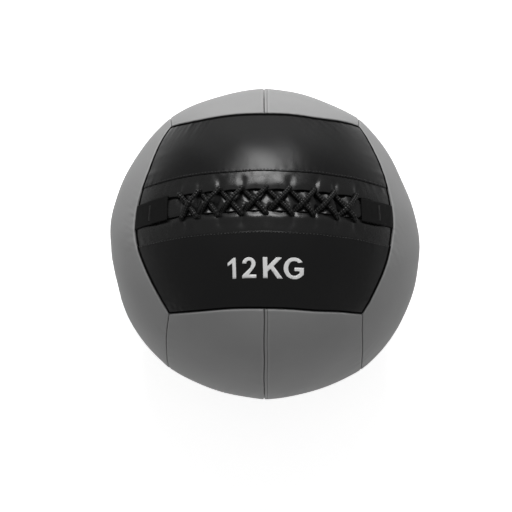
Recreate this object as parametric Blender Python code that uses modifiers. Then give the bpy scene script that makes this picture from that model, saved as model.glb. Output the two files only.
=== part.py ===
"""A wall ball, 350 mm across and 12 kg: a soft training ball of twelve sewn panels.

The cover has six faces, like a cube blown up to a ball, and each face is two long panels
side by side. Each face lies a quarter turn from its neighbours, so that the long seams of
one face meet the ends of the next. The top face is left open along its middle, hemmed, and
laced shut over a tongue. Inside are a liner bag, two halves of fibre wadding and a tied bag
of iron sand in the middle, which gives the weight. The ball rests on the flat that its own
weight presses into the base face.

Lengths are in metres, +Z is up, and the origin is on the floor under the ball's centre.
"""

import math

import bmesh
import bpy
from mathutils import Matrix, Vector

# The ball over the crests of its seams, and how far its weight flattens it.
SEAM_RADIUS = 0.1755
FLOOR_SAG = 0.008
CENTRE_HEIGHT = SEAM_RADIUS - FLOOR_SAG

# What touches in the real ball keeps a hair's gap here.
TOUCH_GAP = 0.0003

# The seams follow a cube's edges, each pulled aside from the edge at its middle. A face
# reaches this far from its middle to its long seams, which are the end seams of the faces
# beside it. The lacing pulls the ends of its own face in.
CORNER_SHARE = 1 / math.sqrt(3)
CORNER_AROUND = math.radians(45)
CORNER_ACROSS = math.asin(CORNER_SHARE)
LACED_REACH = math.radians(37)
SIDE_REACH = math.radians(40.2)
FRONT_REACH = math.radians(37)

# A panel of coated fabric: nearly flat across, so its middle lies lower than its seams.
PANEL_THICKNESS = 0.0012
PANEL_DIP = 0.002
SEAM_GAP = 0.0005
SEAM_SHOULDER = 0.004
SEAM_GROOVE = 0.0015
PANEL_CELLS_ALONG = 16
PANEL_CELLS_ACROSS = 6

# The smooth facing that is sewn under each laced panel and folded back at the slit.
FACING_THICKNESS = 0.001
FACING_LAP = 0.006
STITCH_LINE = 0.0318
LAP_GAP = 0.0005
HEM_LINE = 0.0074
HEM_SCALLOP = 0.0034
HEM_ALLOWANCE = 0.009
HEM_FOLD_GAP = 0.0003
HEM_CLOSED_LINE = 0.003
FOLD_CELLS = 4

# The lace, and the punched holes that it runs through.
LACE_DIAMETER = 0.005
LACE_CLEARANCE = 0.0007
LACE_CROSSING_GAP = 0.0015
LACE_SPACING = 0.0052
HOLE_COUNT = 9
HOLE_PITCH = 0.0233
HOLE_OFFSET = 0.003
HOLE_DIAMETER = 0.0074
HOLE_FROM_HEM = 0.005
HOLE_SIDES = 8
CROSSING_HEIGHT = 0.0001
LACE_LEAD = 0.0025

# The tongue behind the slit, and the woven tabs over the slit's ends.
TONGUE_THICKNESS = 0.001
TONGUE_WIDTH = 0.048
TONGUE_CROWN = 0.003
TONGUE_END_MARGIN = 0.007
WEBBING_THICKNESS = 0.001
WEBBING_WIDTH = 0.025
TAB_FROM_LAST_HOLE = 0.0123
TAB_FOLD_BACK = 0.022
LACE_TURN_FROM_TAB = 0.009
KNOT_FROM_TAB = 0.0145
KNOT_LENGTH = 0.013
KNOT_WIDTH = 0.012
KNOT_GAP = 0.0006

# The filling, from the liner inwards.
LINER_GAP = 0.0006
LINER_THICKNESS = 0.001
LINER_MOUTH_RADIUS = 0.016
CORE_RADIUS = 0.078
CORE_THICKNESS = 0.001
NECK_RADIUS = 0.014
NECK_LENGTH = 0.03
NECK_TIE_DIAMETER = 0.0032
CUT_OVERRUN = 0.002

# Heights of the layers at the slit, measured up from the seam radius.
FACING_TOP = -PANEL_THICKNESS - LAP_GAP
FOLD_RADIUS = FACING_THICKNESS + HEM_FOLD_GAP / 2
FOLD_CENTRE = FACING_TOP - FOLD_RADIUS
FACING_UNDERSIDE = FACING_TOP - 2 * FOLD_RADIUS
LACE_RADIUS = LACE_DIAMETER / 2
LACE_LOOP_RADIUS = FOLD_RADIUS + LACE_CLEARANCE + LACE_RADIUS
LACE_UNDER_HEM = FOLD_CENTRE - LACE_LOOP_RADIUS
TONGUE_TOP = LACE_UNDER_HEM - LACE_RADIUS - TOUCH_GAP
TAB_UNDERSIDE = FACING_TOP + TOUCH_GAP
TAB_FOLD_RADIUS = WEBBING_THICKNESS + HEM_FOLD_GAP / 2

# Where things lie along the slit and across it.
HOLE_LINE = HEM_LINE + HOLE_FROM_HEM
LAST_HOLE = (HOLE_COUNT - 1) / 2 * HOLE_PITCH
TAB_INNER_END = LAST_HOLE + TAB_FROM_LAST_HOLE
LACE_TURN = TAB_INNER_END + LACE_TURN_FROM_TAB
KNOT_PLACE = -TAB_INNER_END - KNOT_FROM_TAB

# The liner clears both the tongue above it and the flat of the base below it.
LINER_RADIUS = min(SEAM_RADIUS + TONGUE_TOP - TONGUE_THICKNESS, CENTRE_HEIGHT - PANEL_THICKNESS) - LINER_GAP
WADDING_RADIUS = LINER_RADIUS - LINER_THICKNESS - TOUCH_GAP
WADDING_CAVITY_RADIUS = CORE_RADIUS + TOUCH_GAP
SAND_RADIUS = CORE_RADIUS - CORE_THICKNESS - TOUCH_GAP

# Facets of the turned pieces.
TURN_STEPS = 16
ARC_CELLS = 7
CORE_CELLS = 5
EMPTY_CELLS = 1
TIE_SIDES = 5
MERGE_DISTANCE = 0.00005


def clear_scene():
    """Empty the file that the script runs in."""
    for old in list(bpy.data.objects):
        bpy.data.objects.remove(old, do_unlink=True)


def new_collection(name):
    """A collection of its own, linked to the scene."""
    collection = bpy.data.collections.new(name)
    bpy.context.scene.collection.children.link(collection)
    return collection


def new_material(name, colour, roughness, metallic=0.0):
    """A plain Principled material."""
    material = bpy.data.materials.new(name)
    material.use_nodes = True
    shader = material.node_tree.nodes["Principled BSDF"]
    shader.inputs["Base Color"].default_value = (*colour, 1.0)
    shader.inputs["Roughness"].default_value = roughness
    shader.inputs["Metallic"].default_value = metallic
    material.diffuse_color = (*colour, 1.0)
    return material


def add_object(name, data, collection, material, centre=None):
    """Put a mesh or curve in its collection, on the ball's centre."""
    part = bpy.data.objects.new(name, data)
    collection.objects.link(part)
    if not data.materials:
        data.materials.append(material)
    part.parent = centre
    return part


def add_solidify(part, thickness):
    """Thicken a surface inwards, away from its outer side."""
    shell = part.modifiers.new("Thickness", "SOLIDIFY")
    shell.thickness = thickness
    shell.offset = -1.0
    shell.use_even_offset = True
    shell.use_quality_normals = True


def add_screw(part):
    """Turn a profile about the Z axis."""
    turn = part.modifiers.new("Turn", "SCREW")
    turn.steps = TURN_STEPS
    turn.render_steps = TURN_STEPS
    turn.use_merge_vertices = True
    turn.merge_threshold = MERGE_DISTANCE
    turn.use_smooth_shade = False


def shade_round(mesh):
    """Smooth shading with the folds kept sharp."""
    mesh.shade_smooth()
    mesh.set_sharp_from_angle(angle=math.radians(40))


def on_ball(around, across, radius):
    """The point at an angle around the middle of the top face, and at one across it."""
    level = radius * math.cos(across)
    return Vector((level * math.sin(around), radius * math.sin(across), level * math.cos(around)))


def at_slit(along, across, height):
    """The point at a length along the slit, at one across it, and above the seam radius."""
    return on_ball(along / SEAM_RADIUS, math.asin(across / SEAM_RADIUS), SEAM_RADIUS + height)


def seam_plane(reach):
    """The plane of a long seam: across * y + outward * z = offset on a ball of radius 1."""
    across = math.cos(reach) - CORNER_SHARE
    outward = CORNER_SHARE - math.sin(reach)
    offset = CORNER_SHARE * (math.cos(reach) - math.sin(reach))
    return across, outward, offset


def long_seam_across(around, reach):
    """The angle across a face at which its long seam runs."""
    across, outward, offset = seam_plane(reach)
    outward *= math.cos(around)
    return math.asin(offset / math.hypot(across, outward)) - math.atan2(outward, across)


def end_seam_around(across_angle, neighbour_reach):
    """The angle around the ball at which a face ends: the long seam of its neighbour."""
    across, outward, offset = seam_plane(neighbour_reach)
    turn = math.acos(offset / (math.hypot(across, outward) * math.cos(across_angle)))
    return turn + math.atan2(outward, across)


def slit_end(across):
    """How far along the slit the end seam lies, at a distance across it."""
    return end_seam_around(math.asin(across / SEAM_RADIUS), SIDE_REACH) * SEAM_RADIUS


def seam_foot_radius():
    """Where the seam allowances end: just outside the liner, also between their corners."""
    longest = max(end_seam_around(0, reach) for reach in (LACED_REACH, SIDE_REACH, FRONT_REACH))
    cell = 2 * longest / (PANEL_CELLS_ALONG - 2)
    return (LINER_RADIUS + TOUCH_GAP) / math.cos(cell / 2)


def shares_with_shoulders(length, cells):
    """Shares from 0 to 1 whose first and last cells are one seam shoulder wide."""
    shoulder = SEAM_SHOULDER / length
    inner = [shoulder + (1 - 2 * shoulder) * cell / (cells - 2) for cell in range(cells - 1)]
    return [0.0, *inner, 1.0]


def plain_dip(across_share):
    """How a panel between two seams sinks across its width, from 0 to 1 and back."""
    return 4 * across_share * (1 - across_share)


def laced_dip(across_share):
    """The same for a laced panel, which runs on level from its stitch line."""
    return 27 / 4 * across_share ** 2 * (1 - across_share)


def grid_mesh(name, grid):
    """A sheet of four-sided faces through a grid of points."""
    sheet = bmesh.new()
    points = [[sheet.verts.new(point) for point in row] for row in grid]
    for row, next_row in zip(points, points[1:]):
        for corners in zip(row, next_row, next_row[1:], row[1:]):
            sheet.faces.new(corners)
    return finish_mesh(name, sheet)


def finish_mesh(name, sheet):
    """Store a bmesh as a mesh."""
    mesh = bpy.data.meshes.new(name)
    sheet.to_mesh(mesh)
    sheet.free()
    shade_round(mesh)
    return mesh


def panel_mesh(name, reach, neighbour_reach, first_across=0.0, is_open=False, rests=False):
    """Half a face as a tray: the outer skin, and its seam allowance turned in around it.

    An open panel has no seam where it starts, and one that rests is pressed flat at the
    level of the floor.
    """
    inset = SEAM_GAP / 2 / SEAM_RADIUS
    length = 2 * end_seam_around(0, neighbour_reach) * SEAM_RADIUS
    width = (reach - first_across) * SEAM_RADIUS
    dip = laced_dip if is_open else plain_dip
    low = first_across if is_open else first_across + inset
    sheet = bmesh.new()
    points = []
    feet = {}
    for i, share in enumerate(shares_with_shoulders(length, PANEL_CELLS_ALONG)):
        along_share = 2 * share - 1
        high = long_seam_across(along_share * CORNER_AROUND, reach) - inset
        points.append([])
        for j, across_share in enumerate(shares_with_shoulders(width, PANEL_CELLS_ACROSS)):
            side = first_across + across_share * (CORNER_ACROSS - first_across)
            around = along_share * (end_seam_around(side, neighbour_reach) - inset)
            across = low + across_share * (high - low)
            radius = SEAM_RADIUS - PANEL_DIP * dip(across_share) * (1 - along_share ** 4)
            is_end = i in (0, PANEL_CELLS_ALONG)
            is_side = j == PANEL_CELLS_ACROSS or (j == 0 and not is_open)
            if is_end or is_side:
                radius -= SEAM_GROOVE
                feet[i, j] = sheet.verts.new(on_ball(around, across, seam_foot_radius()))
            point = on_ball(around, across, radius)
            if rests:
                point.z = min(point.z, CENTRE_HEIGHT)
            points[-1].append(sheet.verts.new(point))
    for row, next_row in zip(points, points[1:]):
        for corners in zip(row, next_row, next_row[1:], row[1:]):
            sheet.faces.new(corners)
    rim = [(PANEL_CELLS_ALONG, j) for j in range(PANEL_CELLS_ACROSS)]
    rim += [(i, PANEL_CELLS_ACROSS) for i in range(PANEL_CELLS_ALONG, 0, -1)]
    rim += [(0, j) for j in range(PANEL_CELLS_ACROSS, -1, -1)]
    if not is_open:
        rim += [(i, 0) for i in range(1, PANEL_CELLS_ALONG + 1)]
    for (i, j), (next_i, next_j) in zip(rim, rim[1:]):
        top, next_top = points[i][j], points[next_i][next_j]
        sheet.faces.new((top, feet[i, j], feet[next_i, next_j], next_top))
    return finish_mesh(name, sheet)


def turned_to(across, normal):
    """The rotation that takes the top face's far half to another half face."""
    across = Vector(across)
    normal = Vector(normal)
    along = across.cross(normal)
    return Matrix((along, across, normal)).transposed().to_euler()


def build_plain_panels(collection, centre, grey):
    """The eight panels round the sides: two pattern pieces, each sewn four times."""
    front = panel_mesh("front_panel", FRONT_REACH, LACED_REACH)
    side = panel_mesh("side_panel", SIDE_REACH, FRONT_REACH)
    places = {
        "far_left_panel": (front, (-1, 0, 0), (0, 1, 0)),
        "far_right_panel": (front, (1, 0, 0), (0, 1, 0)),
        "near_left_panel": (front, (-1, 0, 0), (0, -1, 0)),
        "near_right_panel": (front, (1, 0, 0), (0, -1, 0)),
        "left_upper_panel": (side, (0, 0, 1), (-1, 0, 0)),
        "left_lower_panel": (side, (0, 0, -1), (-1, 0, 0)),
        "right_upper_panel": (side, (0, 0, 1), (1, 0, 0)),
        "right_lower_panel": (side, (0, 0, -1), (1, 0, 0)),
    }
    for name, (mesh, across, normal) in places.items():
        panel = add_object(name, mesh, collection, grey, centre)
        panel.rotation_euler = turned_to(across, normal)
        add_solidify(panel, PANEL_THICKNESS)


def build_base_panels(collection, centre, black):
    """The two panels underneath, pressed flat where the ball rests."""
    mesh = panel_mesh("base_panel", LACED_REACH, SIDE_REACH, rests=True)
    for name, across in (("base_far_panel", (0, 1, 0)), ("base_near_panel", (0, -1, 0))):
        panel = add_object(name, mesh, collection, black, centre)
        panel.rotation_euler = turned_to(across, (0, 0, -1))
        add_solidify(panel, PANEL_THICKNESS)


def build_laced_panels(collection, centre, black):
    """The two panels on top, lapped over the facings along their stitch lines."""
    stitch_across = math.asin(STITCH_LINE / SEAM_RADIUS)
    mesh = panel_mesh("laced_panel", LACED_REACH, SIDE_REACH, stitch_across, is_open=True)
    for name, across in (("upper_black_panel", (0, 1, 0)), ("lower_black_panel", (0, -1, 0))):
        panel = add_object(name, mesh, collection, black, centre)
        panel.rotation_euler = turned_to(across, (0, 0, 1))
        add_solidify(panel, PANEL_THICKNESS)


def laced_cover_drop(along, across):
    """How far the laced panel has sunk below the seam radius, past its stitch line."""
    along_share = along / slit_end(0)
    start = math.asin(STITCH_LINE / SEAM_RADIUS)
    end = long_seam_across(along_share * CORNER_AROUND, LACED_REACH)
    share = max(0.0, (math.asin(across / SEAM_RADIUS) - start) / (end - start))
    return PANEL_DIP * laced_dip(share) * (1 - along_share ** 4)


def eased(value, start, end):
    """A share that rises smoothly from 0 at the start to 1 at the end."""
    share = min(1.0, max(0.0, (value - start) / (end - start)))
    return share * share * (3 - 2 * share)


def hem_line(along):
    """Half the slit's width: least at the holes, and closing up under the tabs."""
    from_middle = along - HOLE_OFFSET
    pull = 0.0
    if abs(from_middle) < LAST_HOLE + HOLE_PITCH / 2:
        pull = math.cos(math.pi * from_middle / HOLE_PITCH) ** 2
    line = HEM_LINE + HEM_SCALLOP * (1 - pull)
    closed = eased(abs(along), LACE_TURN + LACE_DIAMETER, slit_end(0))
    return line + (HEM_CLOSED_LINE - line) * closed


def facing_profile():
    """Across the facing: each line's distance from the slit's middle or hem, and its height.

    It runs from under the panel to the slit, round the fold, and back underneath.
    """
    hem_end = FOLD_RADIUS + HEM_ALLOWANCE
    profile = [
        (STITCH_LINE + FACING_LAP, "under panel", FACING_TOP),
        (STITCH_LINE - LAP_GAP, "under panel", FACING_TOP),
        (STITCH_LINE - PANEL_THICKNESS, "open", FACING_TOP),
        (hem_end, "from hem", FACING_TOP),
    ]
    for cell in range(FOLD_CELLS + 1):
        turn = math.pi * cell / FOLD_CELLS
        reach = FOLD_RADIUS - FOLD_RADIUS * math.sin(turn)
        profile.append((reach, "from hem", FOLD_CENTRE + FOLD_RADIUS * math.cos(turn)))
    profile.append((hem_end, "from hem", FACING_UNDERSIDE))
    return profile


def facing_stations(end):
    """Places along a facing: four to each hole, and a few from the last hole to the end."""
    cells = 4 * HOLE_COUNT
    first = HOLE_OFFSET - LAST_HOLE - HOLE_PITCH / 2
    last = HOLE_OFFSET + LAST_HOLE + HOLE_PITCH / 2
    holed = [first + (last - first) * cell / cells for cell in range(cells + 1)]
    shoulder = end - SEAM_SHOULDER
    return [-end, -shoulder, (first - shoulder) / 2, *holed, (last + shoulder) / 2, shoulder, end]


def facing_mesh(name, side):
    """One facing, from end seam to end seam, kept inside its panel's seam allowances."""
    grid = []
    for reach, kind, height in facing_profile():
        inset = SEAM_GAP
        if kind == "under panel":
            inset += PANEL_THICKNESS + TOUCH_GAP
        row = []
        for station in facing_stations(slit_end(reach) - inset):
            across = reach
            if kind == "from hem":
                across += hem_line(station)
            drop = laced_cover_drop(station, across)
            if abs(station) > slit_end(reach) - inset - SEAM_SHOULDER / 2:
                drop += SEAM_GROOVE
            row.append(at_slit(station, side * across, height - drop))
        grid.append(row[::side])
    return grid_mesh(name, grid)


def hole_places():
    """The middle of every hole along the slit, from left to right."""
    return [HOLE_OFFSET + hole * HOLE_PITCH - LAST_HOLE for hole in range(HOLE_COUNT)]


def build_hole_cutter(collection, centre, black):
    """Punches for both rows of holes, each pointing at the ball's centre."""
    punches = bmesh.new()
    depth = FACING_TOP - FACING_UNDERSIDE + 2 * CUT_OVERRUN
    for side in (1, -1):
        for along in hole_places():
            middle = at_slit(along, side * HOLE_LINE, FOLD_CENTRE)
            spin = middle.to_track_quat("Z", "Y").to_matrix().to_4x4()
            bmesh.ops.create_cone(
                punches,
                cap_ends=True,
                segments=HOLE_SIDES,
                radius1=HOLE_DIAMETER / 2,
                radius2=HOLE_DIAMETER / 2,
                depth=depth,
                matrix=Matrix.Translation(middle) @ spin,
            )
    cutter = add_object("lace_hole_punches", finish_mesh("punches", punches), collection, black, centre)
    cutter.hide_render = True
    cutter.display_type = "WIRE"
    return cutter


def build_facings(collection, centre, smooth_black, punches):
    """The two facings, folded at the slit and punched for the lace."""
    for name, side in (("upper_lace_facing", 1), ("lower_lace_facing", -1)):
        facing = add_object(name, facing_mesh(name, side), collection, smooth_black, centre)
        add_solidify(facing, FACING_THICKNESS)
        cut = facing.modifiers.new("Lace holes", "BOOLEAN")
        cut.operation = "DIFFERENCE"
        cut.object = punches


def lace_turn_points(along, side, rises):
    """The lace round a hem and through its hole, going up through the hole or down it."""
    loop_middle = HOLE_LINE - LACE_LOOP_RADIUS
    widest = math.radians(110)
    points = []
    for progress in (-1, -1 / 2, 0, 1 / 2, 1):
        turn = widest * (progress if rises else -progress)
        across = loop_middle + LACE_LOOP_RADIUS * math.cos(turn)
        height = FOLD_CENTRE + LACE_LOOP_RADIUS * math.sin(turn)
        travel = LACE_LEAD * progress * abs(progress)
        points.append(at_slit(along + travel, side * across, height))
    return points


def lace_end_points(along, side, way):
    """The lace at a row's last hole, from inside the hole to its run under the facing."""
    return [
        at_slit(along + way * LACE_LOOP_RADIUS / 4, side * HOLE_LINE, LACE_UNDER_HEM + LACE_RADIUS / 2),
        at_slit(along + way * LACE_LOOP_RADIUS, side * HOLE_LINE, LACE_UNDER_HEM),
    ]


def lace_strand(side):
    """One strand from left to right, starting at the upper (1) or the lower (-1) row."""
    places = hole_places()
    start = KNOT_PLACE + KNOT_LENGTH / 2 + KNOT_GAP
    half_apart = LACE_DIAMETER * 2 / 3
    points = [at_slit(start, side * half_apart, LACE_UNDER_HEM + LACE_RADIUS / 2)]
    points.append(at_slit(-TAB_INNER_END, side * HOLE_LINE * 4 / 5, LACE_UNDER_HEM))
    points += lace_end_points(places[0], side, way=-1)[::-1]
    points += lace_turn_points(places[0], side, rises=True)[2:]
    for place, next_place in zip(places, places[1:]):
        lift = (LACE_DIAMETER + LACE_CROSSING_GAP) / 2 * -side
        points.append(at_slit((place + next_place) / 2, 0, CROSSING_HEIGHT + lift))
        side = -side
        points += lace_turn_points(next_place, side, rises=False)
    points[-2:] = lace_end_points(places[-1], side, way=1)
    return points


def lace_route():
    """The whole lace: out along one strand, round under the right tab, and back."""
    out = lace_strand(1)
    back = lace_strand(-1)
    bend = HOLE_LINE * 3 / 4
    shoulder = LACE_TURN - HOLE_LINE / 3
    turn = [
        at_slit(shoulder, bend, LACE_UNDER_HEM),
        at_slit(LACE_TURN, 0, LACE_UNDER_HEM),
        at_slit(shoulder, -bend, LACE_UNDER_HEM),
    ]
    return out + turn + back[::-1]


def smooth_curve(points, spacing):
    """Points about one spacing apart on a smooth curve through the given points."""
    ends = [2 * points[0] - points[1], *points, 2 * points[-1] - points[-2]]
    curve = []
    for before, start, end, after in zip(ends, ends[1:], ends[2:], ends[3:]):
        reach = (end - start).length
        leave = (end - before) * reach / ((start - before).length + reach)
        arrive = (after - start) * reach / ((after - end).length + reach)
        steps = math.ceil(reach / spacing)
        for step in range(steps):
            t = step / steps
            curve.append(
                start * (2 * t ** 3 - 3 * t ** 2 + 1)
                + leave * (t ** 3 - 2 * t ** 2 + t)
                + end * (3 * t ** 2 - 2 * t ** 3)
                + arrive * (t ** 3 - t ** 2)
            )
    curve.append(points[-1])
    return curve


def report_lace(points):
    """Print the lace's length and its least gap to itself, measured on its points."""
    lengths = [0.0]
    for point, next_point in zip(points, points[1:]):
        lengths.append(lengths[-1] + (next_point - point).length)
    apart = 3 * LACE_DIAMETER
    least = min(
        (points[i] - points[j]).length
        for i in range(len(points))
        for j in range(i + 1, len(points))
        if lengths[j] - lengths[i] > apart
    )
    gap = 1000 * (least - LACE_DIAMETER)
    print(f"lace_cord: {lengths[-1]:.3f} m long, least gap to itself {gap:.2f} mm")


def build_lace(collection, centre, black):
    """The lace as one unbroken tube along its route."""
    route = lace_route()
    report_lace(smooth_curve(route, LACE_SPACING / 4))
    points = smooth_curve(route, LACE_SPACING)
    curve = bpy.data.curves.new("lace", "CURVE")
    curve.dimensions = "3D"
    curve.bevel_depth = LACE_RADIUS
    curve.bevel_resolution = 1
    curve.use_fill_caps = True
    spline = curve.splines.new("POLY")
    spline.points.add(len(points) - 1)
    for target, point in zip(spline.points, points):
        target.co = (*point, 1.0)
    add_object("lace_cord", curve, collection, black, centre)


def build_knot(collection, centre, black):
    """The knot that joins the lace's two ends, tucked under the left tab."""
    floor = TONGUE_TOP + TOUCH_GAP
    ceiling = TAB_UNDERSIDE - TOUCH_GAP
    size = Vector((KNOT_LENGTH, KNOT_WIDTH, ceiling - floor))
    place = at_slit(KNOT_PLACE, 0, (floor + ceiling) / 2)
    spin = place.to_track_quat("Z", "Y").to_matrix().to_4x4()
    knot = bmesh.new()
    matrix = Matrix.Translation(place) @ spin @ Matrix.Diagonal((*size.yxz, 1))
    bmesh.ops.create_uvsphere(knot, u_segments=8, v_segments=6, radius=1 / 2, matrix=matrix)
    add_object("lace_end_knot", finish_mesh("knot", knot), collection, black, centre)


def build_tongue(collection, centre, smooth_black):
    """The tongue that backs the slit, pressed out between the hems by the filling."""
    half_length = slit_end(0) - TONGUE_END_MARGIN
    crown_half = HEM_LINE
    reaches = [crown_half * share for share in (-1, -2 / 3, -1 / 3, 0, 1 / 3, 2 / 3, 1)]
    reaches = [-TONGUE_WIDTH / 2, *reaches, TONGUE_WIDTH / 2]
    grid = []
    for cell in range(PANEL_CELLS_ALONG + 1):
        along = half_length * (2 * cell / PANEL_CELLS_ALONG - 1)
        fade = 1 - eased(abs(along), LAST_HOLE - HOLE_PITCH / 2, TAB_INNER_END)
        row = []
        for across in reaches:
            share = min(1.0, abs(across) / crown_half)
            crown = TONGUE_CROWN * fade * math.cos(share * math.pi / 2) ** 3
            row.append(at_slit(along, across, TONGUE_TOP + crown))
        grid.append(row)
    tongue = add_object("lace_tongue", grid_mesh("tongue", grid), collection, smooth_black, centre)
    add_solidify(tongue, TONGUE_THICKNESS)


def tab_mesh():
    """One tab of woven tape: the end seam holds one end, and the other is folded under."""
    top = TAB_UNDERSIDE + 2 * TAB_FOLD_RADIUS
    fold_middle = TAB_INNER_END + TAB_FOLD_RADIUS
    grid = []
    for across_share in (-1, -1 / 3, 1 / 3, 1):
        across = across_share * WEBBING_WIDTH / 2
        end = slit_end(across) - SEAM_GAP
        row = [at_slit(end, across, top - SEAM_GROOVE)]
        length = end - SEAM_SHOULDER - fold_middle
        for cell in range(3):
            row.append(at_slit(end - SEAM_SHOULDER - length * cell / 3, across, top))
        for cell in range(FOLD_CELLS + 1):
            turn = math.pi * cell / FOLD_CELLS
            along = fold_middle - TAB_FOLD_RADIUS * math.sin(turn)
            height = TAB_UNDERSIDE + TAB_FOLD_RADIUS * (1 + math.cos(turn))
            row.append(at_slit(along, across, height))
        for share in (1 / 2, 1):
            row.append(at_slit(fold_middle + TAB_FOLD_BACK * share, across, TAB_UNDERSIDE))
        grid.append(row)
    return grid_mesh("tab", grid)


def build_tabs(collection, centre, webbing):
    """A tab over each end of the slit."""
    mesh = tab_mesh()
    for name, across in (("right_webbing_tab", (0, 1, 0)), ("left_webbing_tab", (0, -1, 0))):
        tab = add_object(name, mesh, collection, webbing, centre)
        tab.rotation_euler = turned_to(across, (0, 0, 1))
        add_solidify(tab, WEBBING_THICKNESS)


def quarter_turns():
    """Angles down from the top to the ball's waist. Nested pieces share their corners."""
    return [math.pi / 2 * (cell / ARC_CELLS) for cell in range(ARC_CELLS + 1)]


def lower_turns():
    """Angles down from the waist to the bottom."""
    return [math.pi - turn for turn in quarter_turns()[::-1]]


def core_turns():
    """Angles down from the edge of the neck's pocket to the waist."""
    pocket_radius = NECK_RADIUS + NECK_TIE_DIAMETER + 3 * TOUCH_GAP
    pocket = math.asin(pocket_radius / WADDING_CAVITY_RADIUS)
    return [math.pi / 2 - (math.pi / 2 - pocket) * (1 - cell / CORE_CELLS) for cell in range(CORE_CELLS + 1)]


def arc_points(radius, turns):
    """Profile points on a circle round the centre, with exact ones on the axis and the waist."""
    points = []
    for turn in turns:
        reach = 0 if turn in (0, math.pi) else radius * math.sin(turn)
        height = 0 if turn == math.pi / 2 else radius * math.cos(turn)
        points.append((reach, height))
    return points


def profile_mesh(name, profile):
    """An open line in the X-Z plane, for turning about Z."""
    line = bmesh.new()
    points = [line.verts.new((reach, 0, height)) for reach, height in profile]
    for point, next_point in zip(points, points[1:]):
        line.edges.new((point, next_point))
    mesh = bpy.data.meshes.new(name)
    line.to_mesh(mesh)
    line.free()
    return mesh


def build_liner(collection, centre, cloth):
    """The liner bag that holds the wadding, with its mouth under the tongue."""
    mouth = math.asin(LINER_MOUTH_RADIUS / LINER_RADIUS)
    profile = arc_points(LINER_RADIUS, [mouth, *quarter_turns()[1:], *lower_turns()[1:]])
    liner = add_object("inner_liner", profile_mesh("liner", profile), collection, cloth, centre)
    add_screw(liner)
    add_solidify(liner, LINER_THICKNESS)


def build_wadding(collection, centre, fibre):
    """Two thick half shells of fibre, with room for the sand bag and its tied neck."""
    pocket_radius = NECK_RADIUS + NECK_TIE_DIAMETER + 3 * TOUCH_GAP
    pocket_top = CORE_RADIUS + NECK_LENGTH + TOUCH_GAP
    upper = arc_points(WADDING_RADIUS, quarter_turns())
    upper += arc_points(WADDING_CAVITY_RADIUS, core_turns()[::-1])
    upper += [(pocket_radius, pocket_top), (0, pocket_top)]
    lower = arc_points(WADDING_CAVITY_RADIUS, lower_turns()[::-1])
    lower += arc_points(WADDING_RADIUS, lower_turns())
    for name, profile, side in (("upper_wadding", upper, 1), ("lower_wadding", lower, -1)):
        parted = [(reach, height or side * TOUCH_GAP / 2) for reach, height in profile]
        half = add_object(name, profile_mesh(name, parted), collection, fibre, centre)
        add_screw(half)


def build_core(collection, centre, cloth, cord, iron):
    """The bag of iron sand in the middle: the bag, the tie round its neck, and the sand."""
    neck = math.asin(NECK_RADIUS / CORE_RADIUS)
    profile = [(NECK_RADIUS, CORE_RADIUS + NECK_LENGTH)]
    profile += arc_points(CORE_RADIUS, [neck, *core_turns(), *lower_turns()[1:]])
    bag = add_object("core_bag", profile_mesh("core_bag", profile), collection, cloth, centre)
    add_screw(bag)
    add_solidify(bag, CORE_THICKNESS)

    tie_radius = NECK_TIE_DIAMETER / 2
    bpy.ops.mesh.primitive_torus_add(
        major_radius=NECK_RADIUS + TOUCH_GAP + tie_radius,
        minor_radius=tie_radius,
        major_segments=TURN_STEPS,
        minor_segments=TIE_SIDES,
        location=(0, 0, CORE_RADIUS + NECK_LENGTH / 2),
    )
    tie = bpy.context.active_object
    tie.name = "core_bag_tie"
    for home in list(tie.users_collection):
        home.objects.unlink(tie)
    collection.objects.link(tie)
    tie.data.materials.append(cord)
    tie.parent = centre

    profile = arc_points(SAND_RADIUS, [*core_turns()[EMPTY_CELLS:], *lower_turns()[1:]])
    profile.insert(0, (0, profile[0][1]))
    sand = add_object("iron_sand", profile_mesh("iron_sand", profile), collection, iron, centre)
    add_screw(sand)


def build_ball():
    """Sew, lace and fill the ball."""
    clear_scene()
    parts = new_collection("wall_ball")
    cutters = new_collection("wall_ball_cutters")
    centre = bpy.data.objects.new("ball_centre", None)
    parts.objects.link(centre)
    centre.location.z = CENTRE_HEIGHT

    grey = new_material("grey_coated_fabric", (0.25, 0.25, 0.25), 0.6)
    black = new_material("black_embossed_fabric", (0.012, 0.012, 0.012), 0.45)
    smooth_black = new_material("black_smooth_facing", (0.012, 0.012, 0.012), 0.3)
    webbing = new_material("black_woven_tape", (0.008, 0.008, 0.008), 0.85)
    cord = new_material("black_braided_cord", (0.006, 0.006, 0.006), 0.7)
    cloth = new_material("liner_cloth", (0.6, 0.6, 0.58), 0.9)
    fibre = new_material("fibre_wadding", (0.5, 0.5, 0.5), 1.0)
    iron = new_material("iron_sand", (0.05, 0.05, 0.055), 0.6, metallic=0.5)

    build_plain_panels(parts, centre, grey)
    build_base_panels(parts, centre, black)
    build_laced_panels(parts, centre, black)
    punches = build_hole_cutter(cutters, centre, black)
    build_facings(parts, centre, smooth_black, punches)
    build_tongue(parts, centre, smooth_black)
    build_tabs(parts, centre, webbing)
    build_lace(parts, centre, cord)
    build_knot(parts, centre, cord)
    build_liner(parts, centre, cloth)
    build_wadding(parts, centre, fibre)
    build_core(parts, centre, cloth, cord, iron)


build_ball()
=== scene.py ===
"""The looks of a wall ball, 350 mm across and 12 kg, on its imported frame."""

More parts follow.
